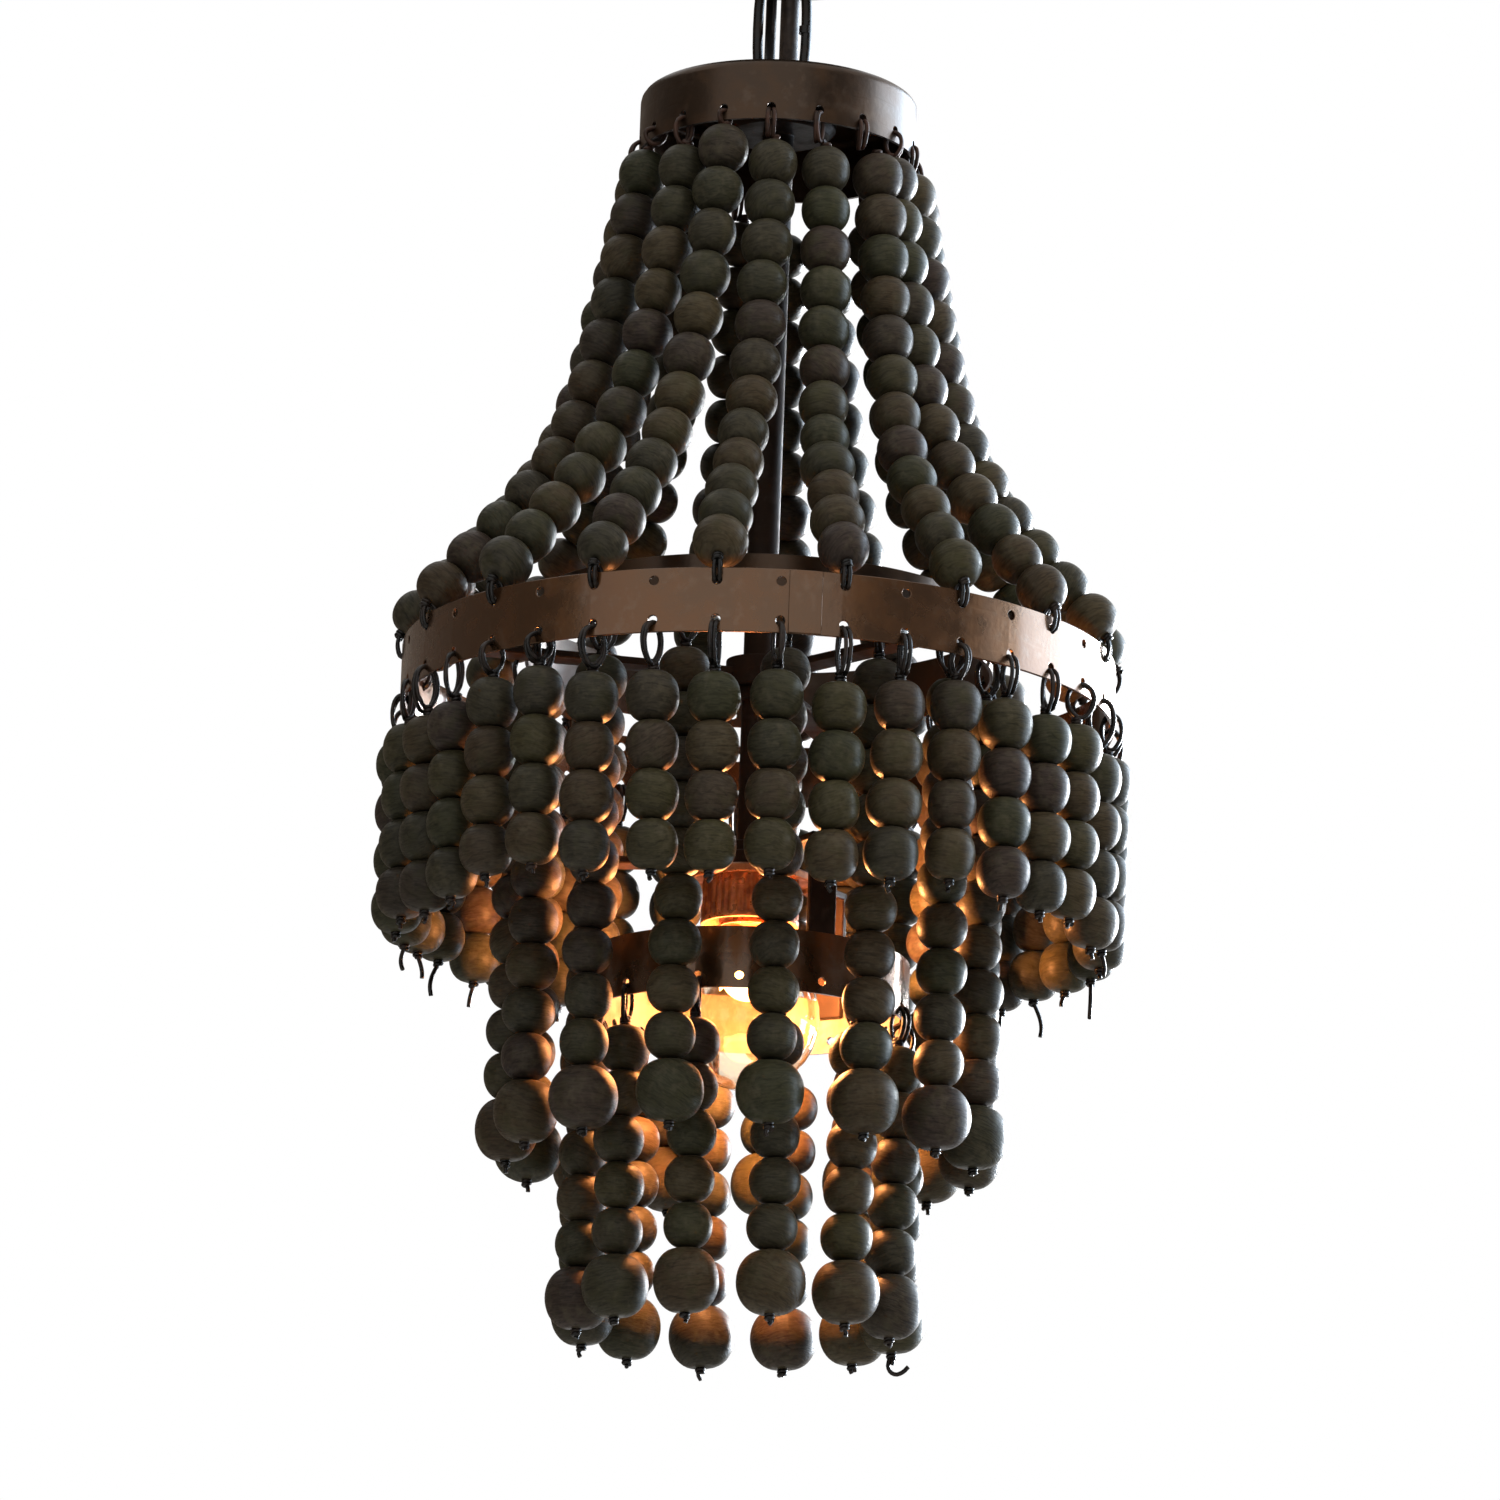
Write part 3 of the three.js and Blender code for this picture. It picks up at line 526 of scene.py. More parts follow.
def addBead(bm, centre, heading, width, height, draw, barrel):
    # one bead of a few dozen faces that the Subdivision modifier rounds off; a lower barrel is squarer
    tone = bm.verts.layers.float.get("beadTone") or bm.verts.layers.float.new("beadTone")
    grain = bm.verts.layers.float_vector.get("beadGrain") or bm.verts.layers.float_vector.new("beadGrain")
    made = bmesh.ops.create_uvsphere(bm, u_segments=beadSet["segments"], v_segments=beadSet["rings"],
                                     radius=0.5)["verts"]
    for v in made:
        across, level = v.co.xy.length * 2, abs(v.co.z) * 2
        if level > 0.99:
            v.co.z = math.copysign(0.5 * beadSet["flatPole"], v.co.z)
            continue
        v.co.xy = v.co.xy.normalized() * 0.5 * across ** barrel
        v.co.z = math.copysign(0.5 * level ** barrel, v.co.z)
    size = 1 + draw.gauss(0, beadSet["sizeSpread"])
    squash = 1 + draw.gauss(0, 0.5 * beadSet["sizeSpread"])
    wide, high = width * size * fitShares[0], height * squash * fitShares[1]
    tilt = Quaternion(Vector((draw.uniform(-1, 1), draw.uniform(-1, 1), 0)).normalized(),
                      math.radians(draw.gauss(0, beadSet["tilt"])))
    turn = Quaternion((0, 0, 1), draw.uniform(0, fullTurn))
    toneValue = draw.random()
    offset = Vector([draw.uniform(-1, 1) * beadSet["grainOffset"] for _ in range(3)]) * mm
    lean = Quaternion((1, 0, 0), draw.gauss(0, beadSet["grainLean"]))
    for v in made:
        local = Vector((v.co.x * wide, v.co.y * wide, v.co.z * high)) * mm
        v[tone] = toneValue
        v[grain] = lean @ local + offset
        v.co = local
    way = heading.to_track_quat("Z", "Y") @ tilt @ turn
    bmesh.ops.transform(bm, matrix=Matrix.Translation(centre) @ way.to_matrix().to_4x4(), verts=made)


def roundOff(piece):
    rounding = piece.modifiers.new("rounding", "SUBSURF")
    rounding.levels = smoothLevels
    rounding.render_levels = smoothLevels
    return piece


def measureFit():
    # the modifier draws a sphere in, so the beads start larger by what this one loses
    bm = bmesh.new()
    still = random.Random(0)
    still.gauss = lambda middle, spread: middle
    addBead(bm, Vector((0, 0, 0)), upward, 1.0, 1.0, still, 0.92)
    trial = roundOff(newPiece("bead_trial", bm, wood))
    applyModifiers(trial)
    widest = max(v.co.xy.length for v in trial.data.vertices)
    highest = max(v.co.z for v in trial.data.vertices)
    bpy.data.objects.remove(trial)
    return 0.5 * mm / widest, 0.5 * mm / highest


fitShares = measureFit()


def beadPiece(name, strands, draw, barrel=0.92):
    # strands are lists of (centre, heading, width, height)
    bm = bmesh.new()
    for beads in strands:
        for centre, heading, width, height in beads:
            addBead(bm, centre, heading, width, height, draw, barrel)
    return roundOff(newPiece(name, bm, wood, sharp=180))


# Hook wires, twisted necks and the knots that end a strand
hookSet = {
    "width": 1.8, "pair": 1.9, "pinch": 0.3, "halfHole": 1.9, "halfWide": 5.0, "foot": 0.87, "yaw": 9,
    "stretch": 0.09, "lean": 0.5, "squat": 0.04, "neckTurns": 3, "neckWide": 3.0, "neckUp": 1.2,
    "neckDown": 0.6, "threadUp": 3.0, "threadDown": 1.5}
# places down a hook's side, as shares of its half width and of its length; the first is under its top
hookTop = (0.58, 0.07)
hookShares = [(0.96, 0.34), (1.0, 0.56), (0.66, 0.84)]
knotSet = {
    "up": 0.6, "long": 3.0, "wide": 2.6, "turns": 2.2, "tailDown": 1.6, "tailBend": 0.28, "curl": (0.3, 1.3)}
# the long wire end of one strand curls up at its tip
curlShape = [(0.4, 1), (-0.8, -3), (-0.9, -6.4), (1.4, -8.6), (4.6, -7.8), (7.0, -5.4)]


def hookRuns(hole, angle, drop, turn, draw, wide):
    # a ring of doubled wire that hangs in its hole; drop is the height from the hole to the first bead
    half = hookSet["halfHole"] - hookSet["width"] / 2
    low = hookSet["foot"] * drop
    right = [(hookTop[0], -half - hookTop[1] * low)] + [(x, -z * low) for x, z in hookShares]
    left = [(-x, z) for x, z in reversed(right)]
    runs = []
    for strand in (-0.5, 0.5):
        yaw = math.radians(turn + draw.gauss(0, hookSet["yaw"]))
        out = (Matrix.Rotation(yaw, 3, "Z") @ outward(angle)).normalized()
        side = upward.cross(out)
        stretch = 1 + draw.gauss(0, hookSet["stretch"])
        lean = draw.gauss(0, hookSet["lean"])
        squat = 1 + draw.gauss(0, hookSet["squat"])
        places = []
        for x, z in [(0.0, -half)] + right + [(0.0, -low)] + left:
            along = x * wide * stretch + lean * z / drop
            across = side * strand * hookSet["pair"] * (1 - hookSet["pinch"] * abs(x))
            height = z if z == -half else z * squat
            places.append(hole + (out * along + across) * mm + upward * height * mm)
        runs.append((places, True))
    return runs


def twistRun(top, heading, length, wide, turns, start, steps=7):
    # wire wound round the strand's own wire
    side = heading.orthogonal().normalized()
    other = heading.cross(side).normalized()
    count = max(int(turns * steps), 3)
    places = []
    for step in range(count + 1):
        share = step / count
        around = start + share * turns * fullTurn
        places.append(top + heading * length * share * mm
                      + (side * math.cos(around) + other * math.sin(around)) * wide / 2 * mm)
    return (places, False)


def tailRun(foot, length, curl, draw):
    # the loose wire end under a knot
    side = Vector((draw.uniform(-1, 1), draw.uniform(-1, 1), 0)).normalized()
    places = []
    for step in range(5):
        share = step / 4
        bend = math.sin(share * math.pi * curl) * length * knotSet["tailBend"]
        places.append(foot + side * bend * mm - upward * length * share * mm)
    return (places, False)


def beadFoot(bead):
    centre, heading, width, height = bead
    return centre + heading * height / 2 * mm


def strandWire(beads, hole, angle, draw, tail, hookTurn, wide=hookSet["halfWide"]):
    # the hook, its neck, the wire through the beads and the knot; the foot of the last bead is bare
    first, last = beads[0], beads[-1]
    top = first[0] - first[1] * first[3] / 2 * mm
    foot = beadFoot(last)
    drop = (hole.z - top.z) / mm
    runs = hookRuns(hole, angle, drop, hookTurn, draw, wide)
    neck = (1 - hookSet["foot"]) * drop + hookSet["neckUp"]
    runs.append(twistRun(top + upward * neck * mm, -upward, neck + hookSet["neckDown"], hookSet["neckWide"],
                         hookSet["neckTurns"], draw.uniform(0, fullTurn)))
    if tail:
        k = knotSet
        runs.append(twistRun(foot - last[1] * k["up"] * mm, last[1], k["long"], k["wide"], k["turns"],
                             draw.uniform(0, fullTurn)))
        runs.append(tailRun(foot + last[1] * k["tailDown"] * mm, tail, draw.uniform(*k["curl"]), draw))
    start, end = top - first[1] * hookSet["threadUp"] * mm, foot + last[1] * hookSet["threadDown"] * mm
    runs.append(([start] + [bead[0] for bead in beads] + [end], False))
    return runs


# The flat rings; the main one carries the curtain
ringSet = {
    "radius": 145.2, "top": -241, "height": 26, "sheet": 1.5, "steps": 144, "wave": 0.35,
    "holes": 36, "phase": -7, "row": 5, "holeWidth": 3.8}
secondSet = {
    "radius": 95, "top": -221.3, "height": 24, "sheet": 1.5, "steps": 120, "wave": 0.2,
    "holes": 30, "phase": 6.2, "row": 5, "holeWidth": 3.6}
lowerSet = {
    "radius": 64.8, "top": -367, "height": 25, "sheet": 1.5, "steps": 96, "wave": 0.2,
    "holes": 24, "phase": 12, "row": 5, "holeWidth": 3.6, "inside": True}
bandSet = {"waveScale": 22, "waveRise": 0.4, "ease": 0.25, "drill": 8}
lapSet = {"from": 4.2, "to": 9.4, "sheet": 1.0, "gap": 0.5, "inset": 0.15, "ease": 0.3, "steps": 5}
curtainSet = {
    "strands": 36, "beads": 4, "width": 21.2, "height": 19.9, "pitch": 19.9, "hookDrop": 29, "groups": 4,
    "sway": 2.0, "tuck": 1.2, "inset": 1.2, "rise": 1.8, "barrel": 0.86, "turn": 22, "back": range(9, 28),
    "backTails": [3, 5, 9, 14], "frontTails": [2.5, 3, 4, 3.5]}


def lowRow(ring):
    return ring["top"] - ring["height"] + ring["row"]


def makeBand(name, ring, rows, node, finish=bronze):
    half = ring["sheet"] / 2
    low, high = ring["top"] - ring["height"], ring["top"]
    inner, outer = ring["radius"] - half, ring["radius"] + half
    bm = spinOutline([(inner, low), (outer, low), (outer, high), (inner, high)], ring["steps"], True)
    for v in bm.verts:
        place = Vector((v.co.x, v.co.y, bandSet["waveRise"] * v.co.z)) * bandSet["waveScale"]
        v.co += Vector((v.co.x, v.co.y, 0)).normalized() * noise.noise(place) * ring["wave"] * mm
    band = newPiece(name, bm, finish)
    places = [(spot(ring["radius"], angle, height), outward(angle))
              for height in rows for angle in anglesRound(ring["holes"], ring["phase"])]
    drillHoles(band, places, ring["holeWidth"], bandSet["drill"])
    if ring.get("inside"):
        # the face towards the bulb gets a paler finish: the bulb's light on it is painted into its colour
        band.data.materials.append(litBandInside)
        for face in band.data.polygons:
            if face.normal.dot(Vector((face.center.x, face.center.y, 0)).normalized()) < -0.9:
                face.material_index = 1
    settle(softenEdges(band, bandSet["ease"]), "fixture", "bronze", node)


def makeLap():
    # the overlapped end of the main band
    low = ringSet["top"] - ringSet["height"] + lapSet["inset"]
    high = ringSet["top"] - lapSet["inset"]
    near = ringSet["radius"] + lapSet["gap"]
    far = near + lapSet["sheet"]
    bm = bmesh.new()
    corners = [(near, low), (far, low), (far, high), (near, high)]
    face = bm.faces.new([bm.verts.new(spot(radius, lapSet["from"], height)) for radius, height in corners])
    bmesh.ops.spin(bm, geom=[face], cent=(0, 0, 0), axis=upward,
                   angle=math.radians(lapSet["to"] - lapSet["from"]), steps=lapSet["steps"])
    bmesh.ops.recalc_face_normals(bm, faces=bm.faces)
    lap = softenEdges(newPiece("main_band_lap", bm, bandBronze), lapSet["ease"])
    settle(lap, "fixture", "bronze")


def makeCurtain():
    c = curtainSet
    draw = random.Random(11)
    strands, runs = [], []
    for index, angle in enumerate(anglesRound(c["strands"], ringSet["phase"])):
        lift = draw.gauss(0, c["rise"])
        out = outward(angle)
        lean = upward.cross(out) * draw.gauss(0, c["sway"]) - out * abs(draw.gauss(0, c["tuck"]))
        beads = []
        for step in range(c["beads"]):
            share = (step + 1) / c["beads"]
            height = lowRow(ringSet) - c["hookDrop"] + lift - step * c["pitch"]
            centre = spot(ringSet["radius"] - c["inset"], angle, height) + lean * share * mm
            beads.append((centre, -upward, c["width"], c["height"]))
        strands.append(beads)
        tail = draw.choice(c["backTails"] if index in c["back"] else c["frontTails"])
        hole = spot(ringSet["radius"], angle, lowRow(ringSet))
        runs += strandWire(beads, hole, angle, draw, tail, draw.gauss(0, c["turn"]))
    size = c["strands"] // c["groups"]
    for group in range(c["groups"]):
        some = strands[group * size:(group + 1) * size]
        settle(beadPiece(f"curtain_beads_{group + 1}", some, draw, c["barrel"]), "fixture", "wood")
    settle(wireMesh("curtain_wires", runs, hookSet["width"], iron), "fixture", "iron")


makeBand("main_band", ringSet, (ringSet["top"] - ringSet["row"], lowRow(ringSet)), "main_ring", bandBronze)
makeLap()
makeCurtain()
print("main ring and curtain made")


# The bell of crown strands, and where the front ones hang at the cap, in degrees and millimetres off
# their even places
crownSet = {
    "strands": 18, "beads": 12, "width": 20.8, "height": 18.9, "start": (57.5, -46), "waist": (79, -160),
    "end": (140, -229), "capPhase": -3.3, "twistEase": 1.5, "loose": 2.2, "rise": 2.0, "sway": 0.35,
    "turn": 24, "hookWide": 3.6}
crownShifts = {0: (1.5, 0), 1: (3.5, -1), 2: (9.5, 1), 17: (0.5, 7), 16: (1.5, 1), 15: (-9, 6)}
# a crown strand's lower wire, over the ring's top edge, as (outwards, up) from the ring's hole
ringWire = {
    "gap": (1.9, 2.6), "slack": 0.3, "sunk": 1.0, "fan": 1.2, "endIn": 1.2, "neck": 7.4, "neckTurns": 2,
    "outside": [(0, 7.2), (0.3, 3.0)], "inside": [(0.6, -0.6), (-2.4, 1.2), (-2.8, 6.5)]}


def bellPlace(share, lift):
    # a cubic curve whose two inner points are both the waist
    keep = 1 - share
    weights = (keep ** 3, 3 * keep * share, share ** 3)
    start = (crownSet["start"][0], crownSet["start"][1] + lift)
    ends = (start, crownSet["waist"], crownSet["end"])
    return tuple(sum(weight * end[axis] for weight, end in zip(weights, ends)) for axis in (0, 1))


def evenShares(lift, count, fineness=200):
    # shares along the curve that lie the same distance apart
    fine = [bellPlace(step / fineness, lift) for step in range(fineness + 1)]
    travelled = [0.0]
    for a, b in zip(fine, fine[1:]):
        travelled.append(travelled[-1] + math.dist(a, b))
    shares, at = [], 0
    for index in range(count):
        wanted = travelled[-1] * index / (count - 1)
        while at < fineness - 1 and travelled[at + 1] < wanted:
            at += 1
        past = (wanted - travelled[at]) / (travelled[at + 1] - travelled[at])
        shares.append(min((at + past) / fineness, 1.0))
    return shares


def ringWireRuns(last, angle, draw):
    # doubled wire from the last bead over the band's top edge, down its outer face and in through the hole
    w, out = ringWire, outward(angle)
    hole = spot(ringSet["radius"], angle, ringSet["top"] - ringSet["row"])
    foot = beadFoot(last)
    gap = draw.uniform(*w["gap"])
    runs = []
    for strand in (-0.5, 0.5):
        off = upward.cross(out) * strand * hookSet["pair"]
        slack = draw.uniform(-w["slack"], w["slack"])
        places = [foot - last[1] * w["sunk"] * mm]
        for fan, (x, z) in zip((1, w["fan"]), w["outside"]):
            places.append(hole + (off * fan + out * (gap + x) + upward * (z + slack)) * mm)
        places += [hole + (off + out * x + upward * z) * mm for x, z in w["inside"]]
        runs.append((places + [foot - out * w["endIn"] * mm], False))
    # the wire's end wound round its neck
    neck = hole + (out * gap + upward * w["neck"]) * mm
    way = foot - neck
    runs.append(twistRun(neck, way.normalized(), way.length / mm, hookSet["neckWide"], w["neckTurns"],
                         draw.uniform(0, fullTurn)))
    return runs


def makeCrownStrands():
    c = crownSet
    draw = random.Random(5)
    hooks, runs = [], []
    starts = zip(anglesRound(c["strands"], ringSet["phase"]), anglesRound(c["strands"], c["capPhase"]))
    for index, (ringAngle, capAngle) in enumerate(starts):
        turned, lift = crownShifts.get(index, (draw.gauss(0, c["loose"]), draw.gauss(0, c["rise"])))
        places = []
        for share in evenShares(lift, c["beads"]):
            radius, height = bellPlace(share, lift)
            sway = math.sin(share * math.pi) * draw.gauss(0, c["sway"])
            ease = (1 - share) ** c["twistEase"]
            angle = ringAngle + (capAngle - ringAngle + turned) * ease + sway
            places.append(spot(radius, angle, height))
        beads = []
        for centre, before, after in zip(places, places[:1] + places, places[1:] + places[-1:]):
            beads.append((centre, (after - before).normalized(), c["width"], c["height"]))
        piece = beadPiece(f"crown_beads_{index + 1:02d}", [beads], draw)
        settle(piece, "fixture", "wood", f"crown_strand_{index + 1:02d}")
        hole = spot(capSet["radius"] - capSet["sheet"] / 2, capAngle, capSet["holeHeight"])
        hooks += strandWire(beads, hole, capAngle, draw, 0, draw.gauss(0, c["turn"]), c["hookWide"])
        runs += ringWireRuns(beads[-1], ringAngle, draw)
    settle(wireMesh("crown_hooks", hooks, hookSet["width"], rustyIron), "fixture", "iron")
    settle(wireMesh("crown_wires", runs, hookSet["width"], iron), "fixture", "iron")


# Crown cap, drilled for the hooks and the cords
capSet = {
    "radius": 57.6, "height": 26.5, "sheet": 1.5, "shoulder": 4.2, "bore": 5.4, "holes": 18,
    "holeHeight": -21.5, "holeWidth": 3.8, "drill": 8, "bushRoom": 3.4, "bushDrill": 12, "steps": 96,
    "ease": 0.3}


def makeCap():
    c = capSet
    middle = (c["radius"] - c["shoulder"], -c["shoulder"])
    inside = c["shoulder"] - c["sheet"]
    outline = [(c["bore"], 0)] + arc(c["shoulder"], math.pi / 2, 0, 4, middle)
    outline += [(c["radius"], -c["height"]), (c["radius"] - c["sheet"], -c["height"])]
    outline += arc(inside, 0, math.pi / 2, 4, middle) + [(c["bore"], -c["sheet"])]
    cap = newPiece("crown_cap_shell", spinOutline(outline, c["steps"], True), bronze)
    places = [(spot(c["radius"] - c["sheet"] / 2, angle, c["holeHeight"]), outward(angle))
              for angle in anglesRound(c["holes"], crownSet["capPhase"])]
    drillHoles(cap, places, c["holeWidth"], c["drill"])
    for cord in cordSet.values():
        end = Vector((*cordRoute(cord)[-1][:2], crownTop))
        drillHoles(cap, [(end, upward)], cord["width"] + c["bushRoom"], c["bushDrill"])
    settle(softenEdges(cap, c["ease"]), "fixture", "bronze", "crown_cap")


makeCap()
makeCrownStrands()
print("crown made")


# Inner and lower tiers: each strand swings on its own hook
tierSet = {
    "width": 20.6, "height": 18.7, "pitch": 18.6, "end": (27.2, 25.4), "wander": 0.35, "turn": 20,
    "tails": [1.4, 2, 2.6, 3.4]}
innerTier = {"label": "inner", "strands": 15, "beads": 9, "hookDrop": 29, "seed": 21}
lowerTier = {"label": "lower", "strands": 12, "beads": 5, "hookDrop": 27, "seed": 33, "curled": 3}


def makeTier(tier, ring):
    t = {**tierSet, **tier}
    draw = random.Random(t["seed"])
    row = lowRow(ring)
    endWidth, endHeight = t["end"]
    for index, angle in enumerate(anglesRound(t["strands"], ring["phase"])):
        beads = []
        for step in range(t["beads"]):
            wander = Vector((draw.gauss(0, t["wander"]), draw.gauss(0, t["wander"]), 0)) * mm
            height = row - t["hookDrop"] - step * t["pitch"]
            beads.append((spot(ring["radius"], angle, height) + wander, -upward, t["width"], t["height"]))
        height -= (t["height"] + endHeight) / 2
        beads.append((spot(ring["radius"], angle, height), -upward, endWidth, endHeight))
        hole = spot(ring["radius"], angle, row)
        runs = strandWire(beads, hole, angle, draw, draw.choice(t["tails"]), draw.gauss(0, t["turn"]))
        if index == t.get("curled"):
            foot = beadFoot(beads[-1])
            runs.append(([foot + Vector((x, 0, z)) * mm for x, z in curlShape], False))
        label, number = t["label"], f"{index + 1:02d}"
        node = f"{label}_strand_{number}"
        settle(beadPiece(f"{label}_beads_{number}", [beads], draw), node, "wood", node)
        settle(wireMesh(f"{label}_wire_{number}", runs, hookSet["width"], iron), node, "iron")


makeBand("second_band", secondSet, [lowRow(secondSet)], "second_ring")
makeBand("lower_band", lowerSet, [lowRow(lowerSet)], "lower_ring", bandBronze)
makeTier(innerTier, secondSet)
makeTier(lowerTier, lowerSet)
print("inner and lower tiers made")


# Stem, hubs and arms
stemSet = {
    "radius": 6.5, "bore": 4.5, "bottom": -338, "housing": 24, "housingTop": -1.8, "housingBottom": -15.8,
    "chamfer": 3, "steps": 48, "ease": 0.5}
armSet = {
    "count": 3, "width": 12, "sheet": 3, "start": 9, "bore": 6.6, "hub": 13.5, "steps": 48,
    "nut": 22, "nutHigh": 5, "ease": 0.6}
# an arm ends this far from the ring's radius, and its foot there is a weld or an upright, which runs
# between two (across, up) places from the ring's radius and top
mainArms = {
    "angle": 43, "hubBottom": -12.1, "hubTop": -0.1, "nutTop": -12.2, "level": -6.1, "end": -0.9,
    "foot": [(-2.6, -6.1), (-0.7, -6.1)], "weld": 1.6}
lowerArms = {
    "angle": 27, "hubBottom": 36, "hubTop": 44, "nutTop": 49.1, "level": 40, "end": -0.6,
    "foot": [(-2.1, 41.5), (-2.1, -11)], "weld": 0}


def makeStem():
    s = stemSet
    outline = [(s["bore"], s["bottom"]), (s["radius"], s["bottom"]), (s["radius"], s["housingBottom"]),
               (s["housing"] - s["chamfer"], s["housingBottom"]),
               (s["housing"], s["housingBottom"] + s["chamfer"]),
               (s["housing"], s["housingTop"]), (s["bore"], s["housingTop"])]
    # the stem's darker bronze is painted shade
    stem = newPiece("stem", spinOutline(outline, s["steps"], True), shadedStemBronze)
    settle(softenEdges(stem, s["ease"]), "fixture", "bronze", "stem_tube")


def makeSpider(name, arms, ring, *nodes):
    # flat arms on a hub that a hexagon nut holds
    a, top = armSet, ring["top"]
    outline = [(a["bore"], top + arms["hubBottom"]), (a["hub"], top + arms["hubBottom"]),
               (a["hub"], top + arms["hubTop"]), (a["bore"], top + arms["hubTop"])]
    bm = spinOutline(outline, a["steps"], True)
    for angle in anglesRound(a["count"], arms["angle"]):
        side = upward.cross(outward(angle))
        start = spot(a["start"], angle, top + arms["level"])
        end = spot(ring["radius"] + arms["end"], angle, top + arms["level"])
        addBar(bm, start, end, a["width"], a["sheet"], side)
        start, end = [spot(ring["radius"] + across, angle, top + up) for across, up in arms["foot"]]
        addBar(bm, start, end, a["width"] + arms["weld"], a["sheet"] + arms["weld"], side)
    nut = bmesh.ops.create_cone(bm, cap_ends=True, segments=6, radius1=a["nut"] / 2 * mm,
                                radius2=a["nut"] / 2 * mm, depth=a["nutHigh"] * mm)["verts"]
    bmesh.ops.translate(bm, vec=spot(0, 0, top + arms["nutTop"] - a["nutHigh"] / 2), verts=nut)
    settle(softenEdges(newPiece(name, bm, shadedStemBronze), a["ease"]), "fixture", "bronze", *nodes)


makeStem()
makeSpider("main_arms", mainArms, ringSet, "main_spider")
makeSpider("lower_arms", lowerArms, lowerSet)
print("stem and arms made")


# Lamp holder: a disc with a rolled rim over a fluted cup. The rim's and the lip's places count outwards
# and up from the disc's edge, the cup's mouth and the disc's underside.
holderSet = {
    "bore": 7.0, "disc": 26, "discTop": -331.3, "discSheet": 2.2, "discSteps": 72,
    "rim": [(-1, 0), (0, -0.8), (0, -3.6), (-1, -4.0), (-1.6, -2.2)],
    "cup": 20, "mouth": -352.3, "wall": 1.4, "lip": [(-0.3, 0), (0, 0.5), (0, 2.0), (-0.2, 2.6)],
    "shoulder": [(-0.2, -2.0), (-0.6, -0.3)], "flutes": 38, "fluteSteps": 6, "fluteDepth": 0.9,
    "fluteFrom": 2.2, "fluteTo": 1.0, "ease": 0.3}


def makeHolder():
    h = holderSet
    top, under = h["discTop"], h["discTop"] - h["discSheet"]
    inner = h["cup"] - h["wall"]
    outline = [(h["bore"], top)] + [(h["disc"] + x, top + z) for x, z in h["rim"]]
    outline += [(inner, under), (h["bore"], under)]
    # the holder's bright orange is painted glow from the bulb
    plate = newPiece("holder_disc", spinOutline(outline, h["discSteps"], True), litSocketMetal)
    settle(softenEdges(plate, h["ease"]), "fixture", "socket", "lamp_socket")
    outline = [(inner, h["mouth"])] + [(h["cup"] + x, h["mouth"] + z) for x, z in h["lip"]]
    outline += [(h["cup"] + x, under + z) for x, z in h["shoulder"]]
    outline.append((inner, under + h["shoulder"][-1][1]))
    bm = spinOutline(outline, h["flutes"] * h["fluteSteps"], True)
    low, high = crownTop + (h["mouth"] + h["fluteFrom"]) * mm, crownTop + (under - h["fluteTo"]) * mm
    for v in bm.verts:
        radius = v.co.xy.length
        if low < v.co.z < high and radius > (h["cup"] - 0.5) * mm:
            depth = h["fluteDepth"] * mm * (0.5 - 0.5 * math.cos(math.atan2(v.co.y, v.co.x) * h["flutes"]))
            v.co.xy *= 1 - depth / radius
    settle(newPiece("holder_cup", bm, litSocketMetal, sharp=50), "fixture", "socket")


# Bulb: a clear envelope on a screw base, with its filament on two leads
bulbSet = {
    "globe": 30, "globeSteps": 14, "neck": 13, "top": -338.4, "base": 15, "neckRun": 10, "shoulder": 63,
    "wall": 0.9, "thread": 0.7, "turns": 6, "steps": 64, "baseSteps": 48, "stalkSteps": 24}
# shares of the neck's radius, and heights over the globe's shoulder
neckShape = [(1.16, 2.2), (1.03, 6), (1.0, 10)]
# the base's tip, as (radius, depth), and the stalk up from its foot, which is this far under the base
tipShape = [(11, 3), (4.6, 0.8), (0, 0.4)]
stalkShape = [(0, -1.5), (1.6, 0), (1.9, 8), (4.5, 15), (4.5, 16.6)]
stalkDrop = 16
filamentSet = {
    "radius": 11, "drop": 6, "steps": 40, "rise": 1.5, "fall": 4.0, "wire": 0.7, "leadWire": 0.6,
    "leads": [(1.0, 3), (4, -1), (11, -6)]}


def globeOutline(inset):
    b = bulbSet
    lift = math.radians(b["shoulder"])
    low = b["top"] - b["base"] - b["neckRun"]
    middle = (0, low - b["globe"] * math.sin(lift))
    outline = arc(b["globe"] - inset, -math.pi / 2, lift, b["globeSteps"], middle)
    return outline + [(b["neck"] * share - inset, low + z) for share, z in neckShape]


def makeGlassPiece(name, outline, steps):
    # clear glass that throws no shadow, so that the lamp's light leaves the bulb
    glass = newPiece(name, spinOutline(outline, steps), clearGlass, sharp=60)
    glass.visible_shadow = False
    return glass


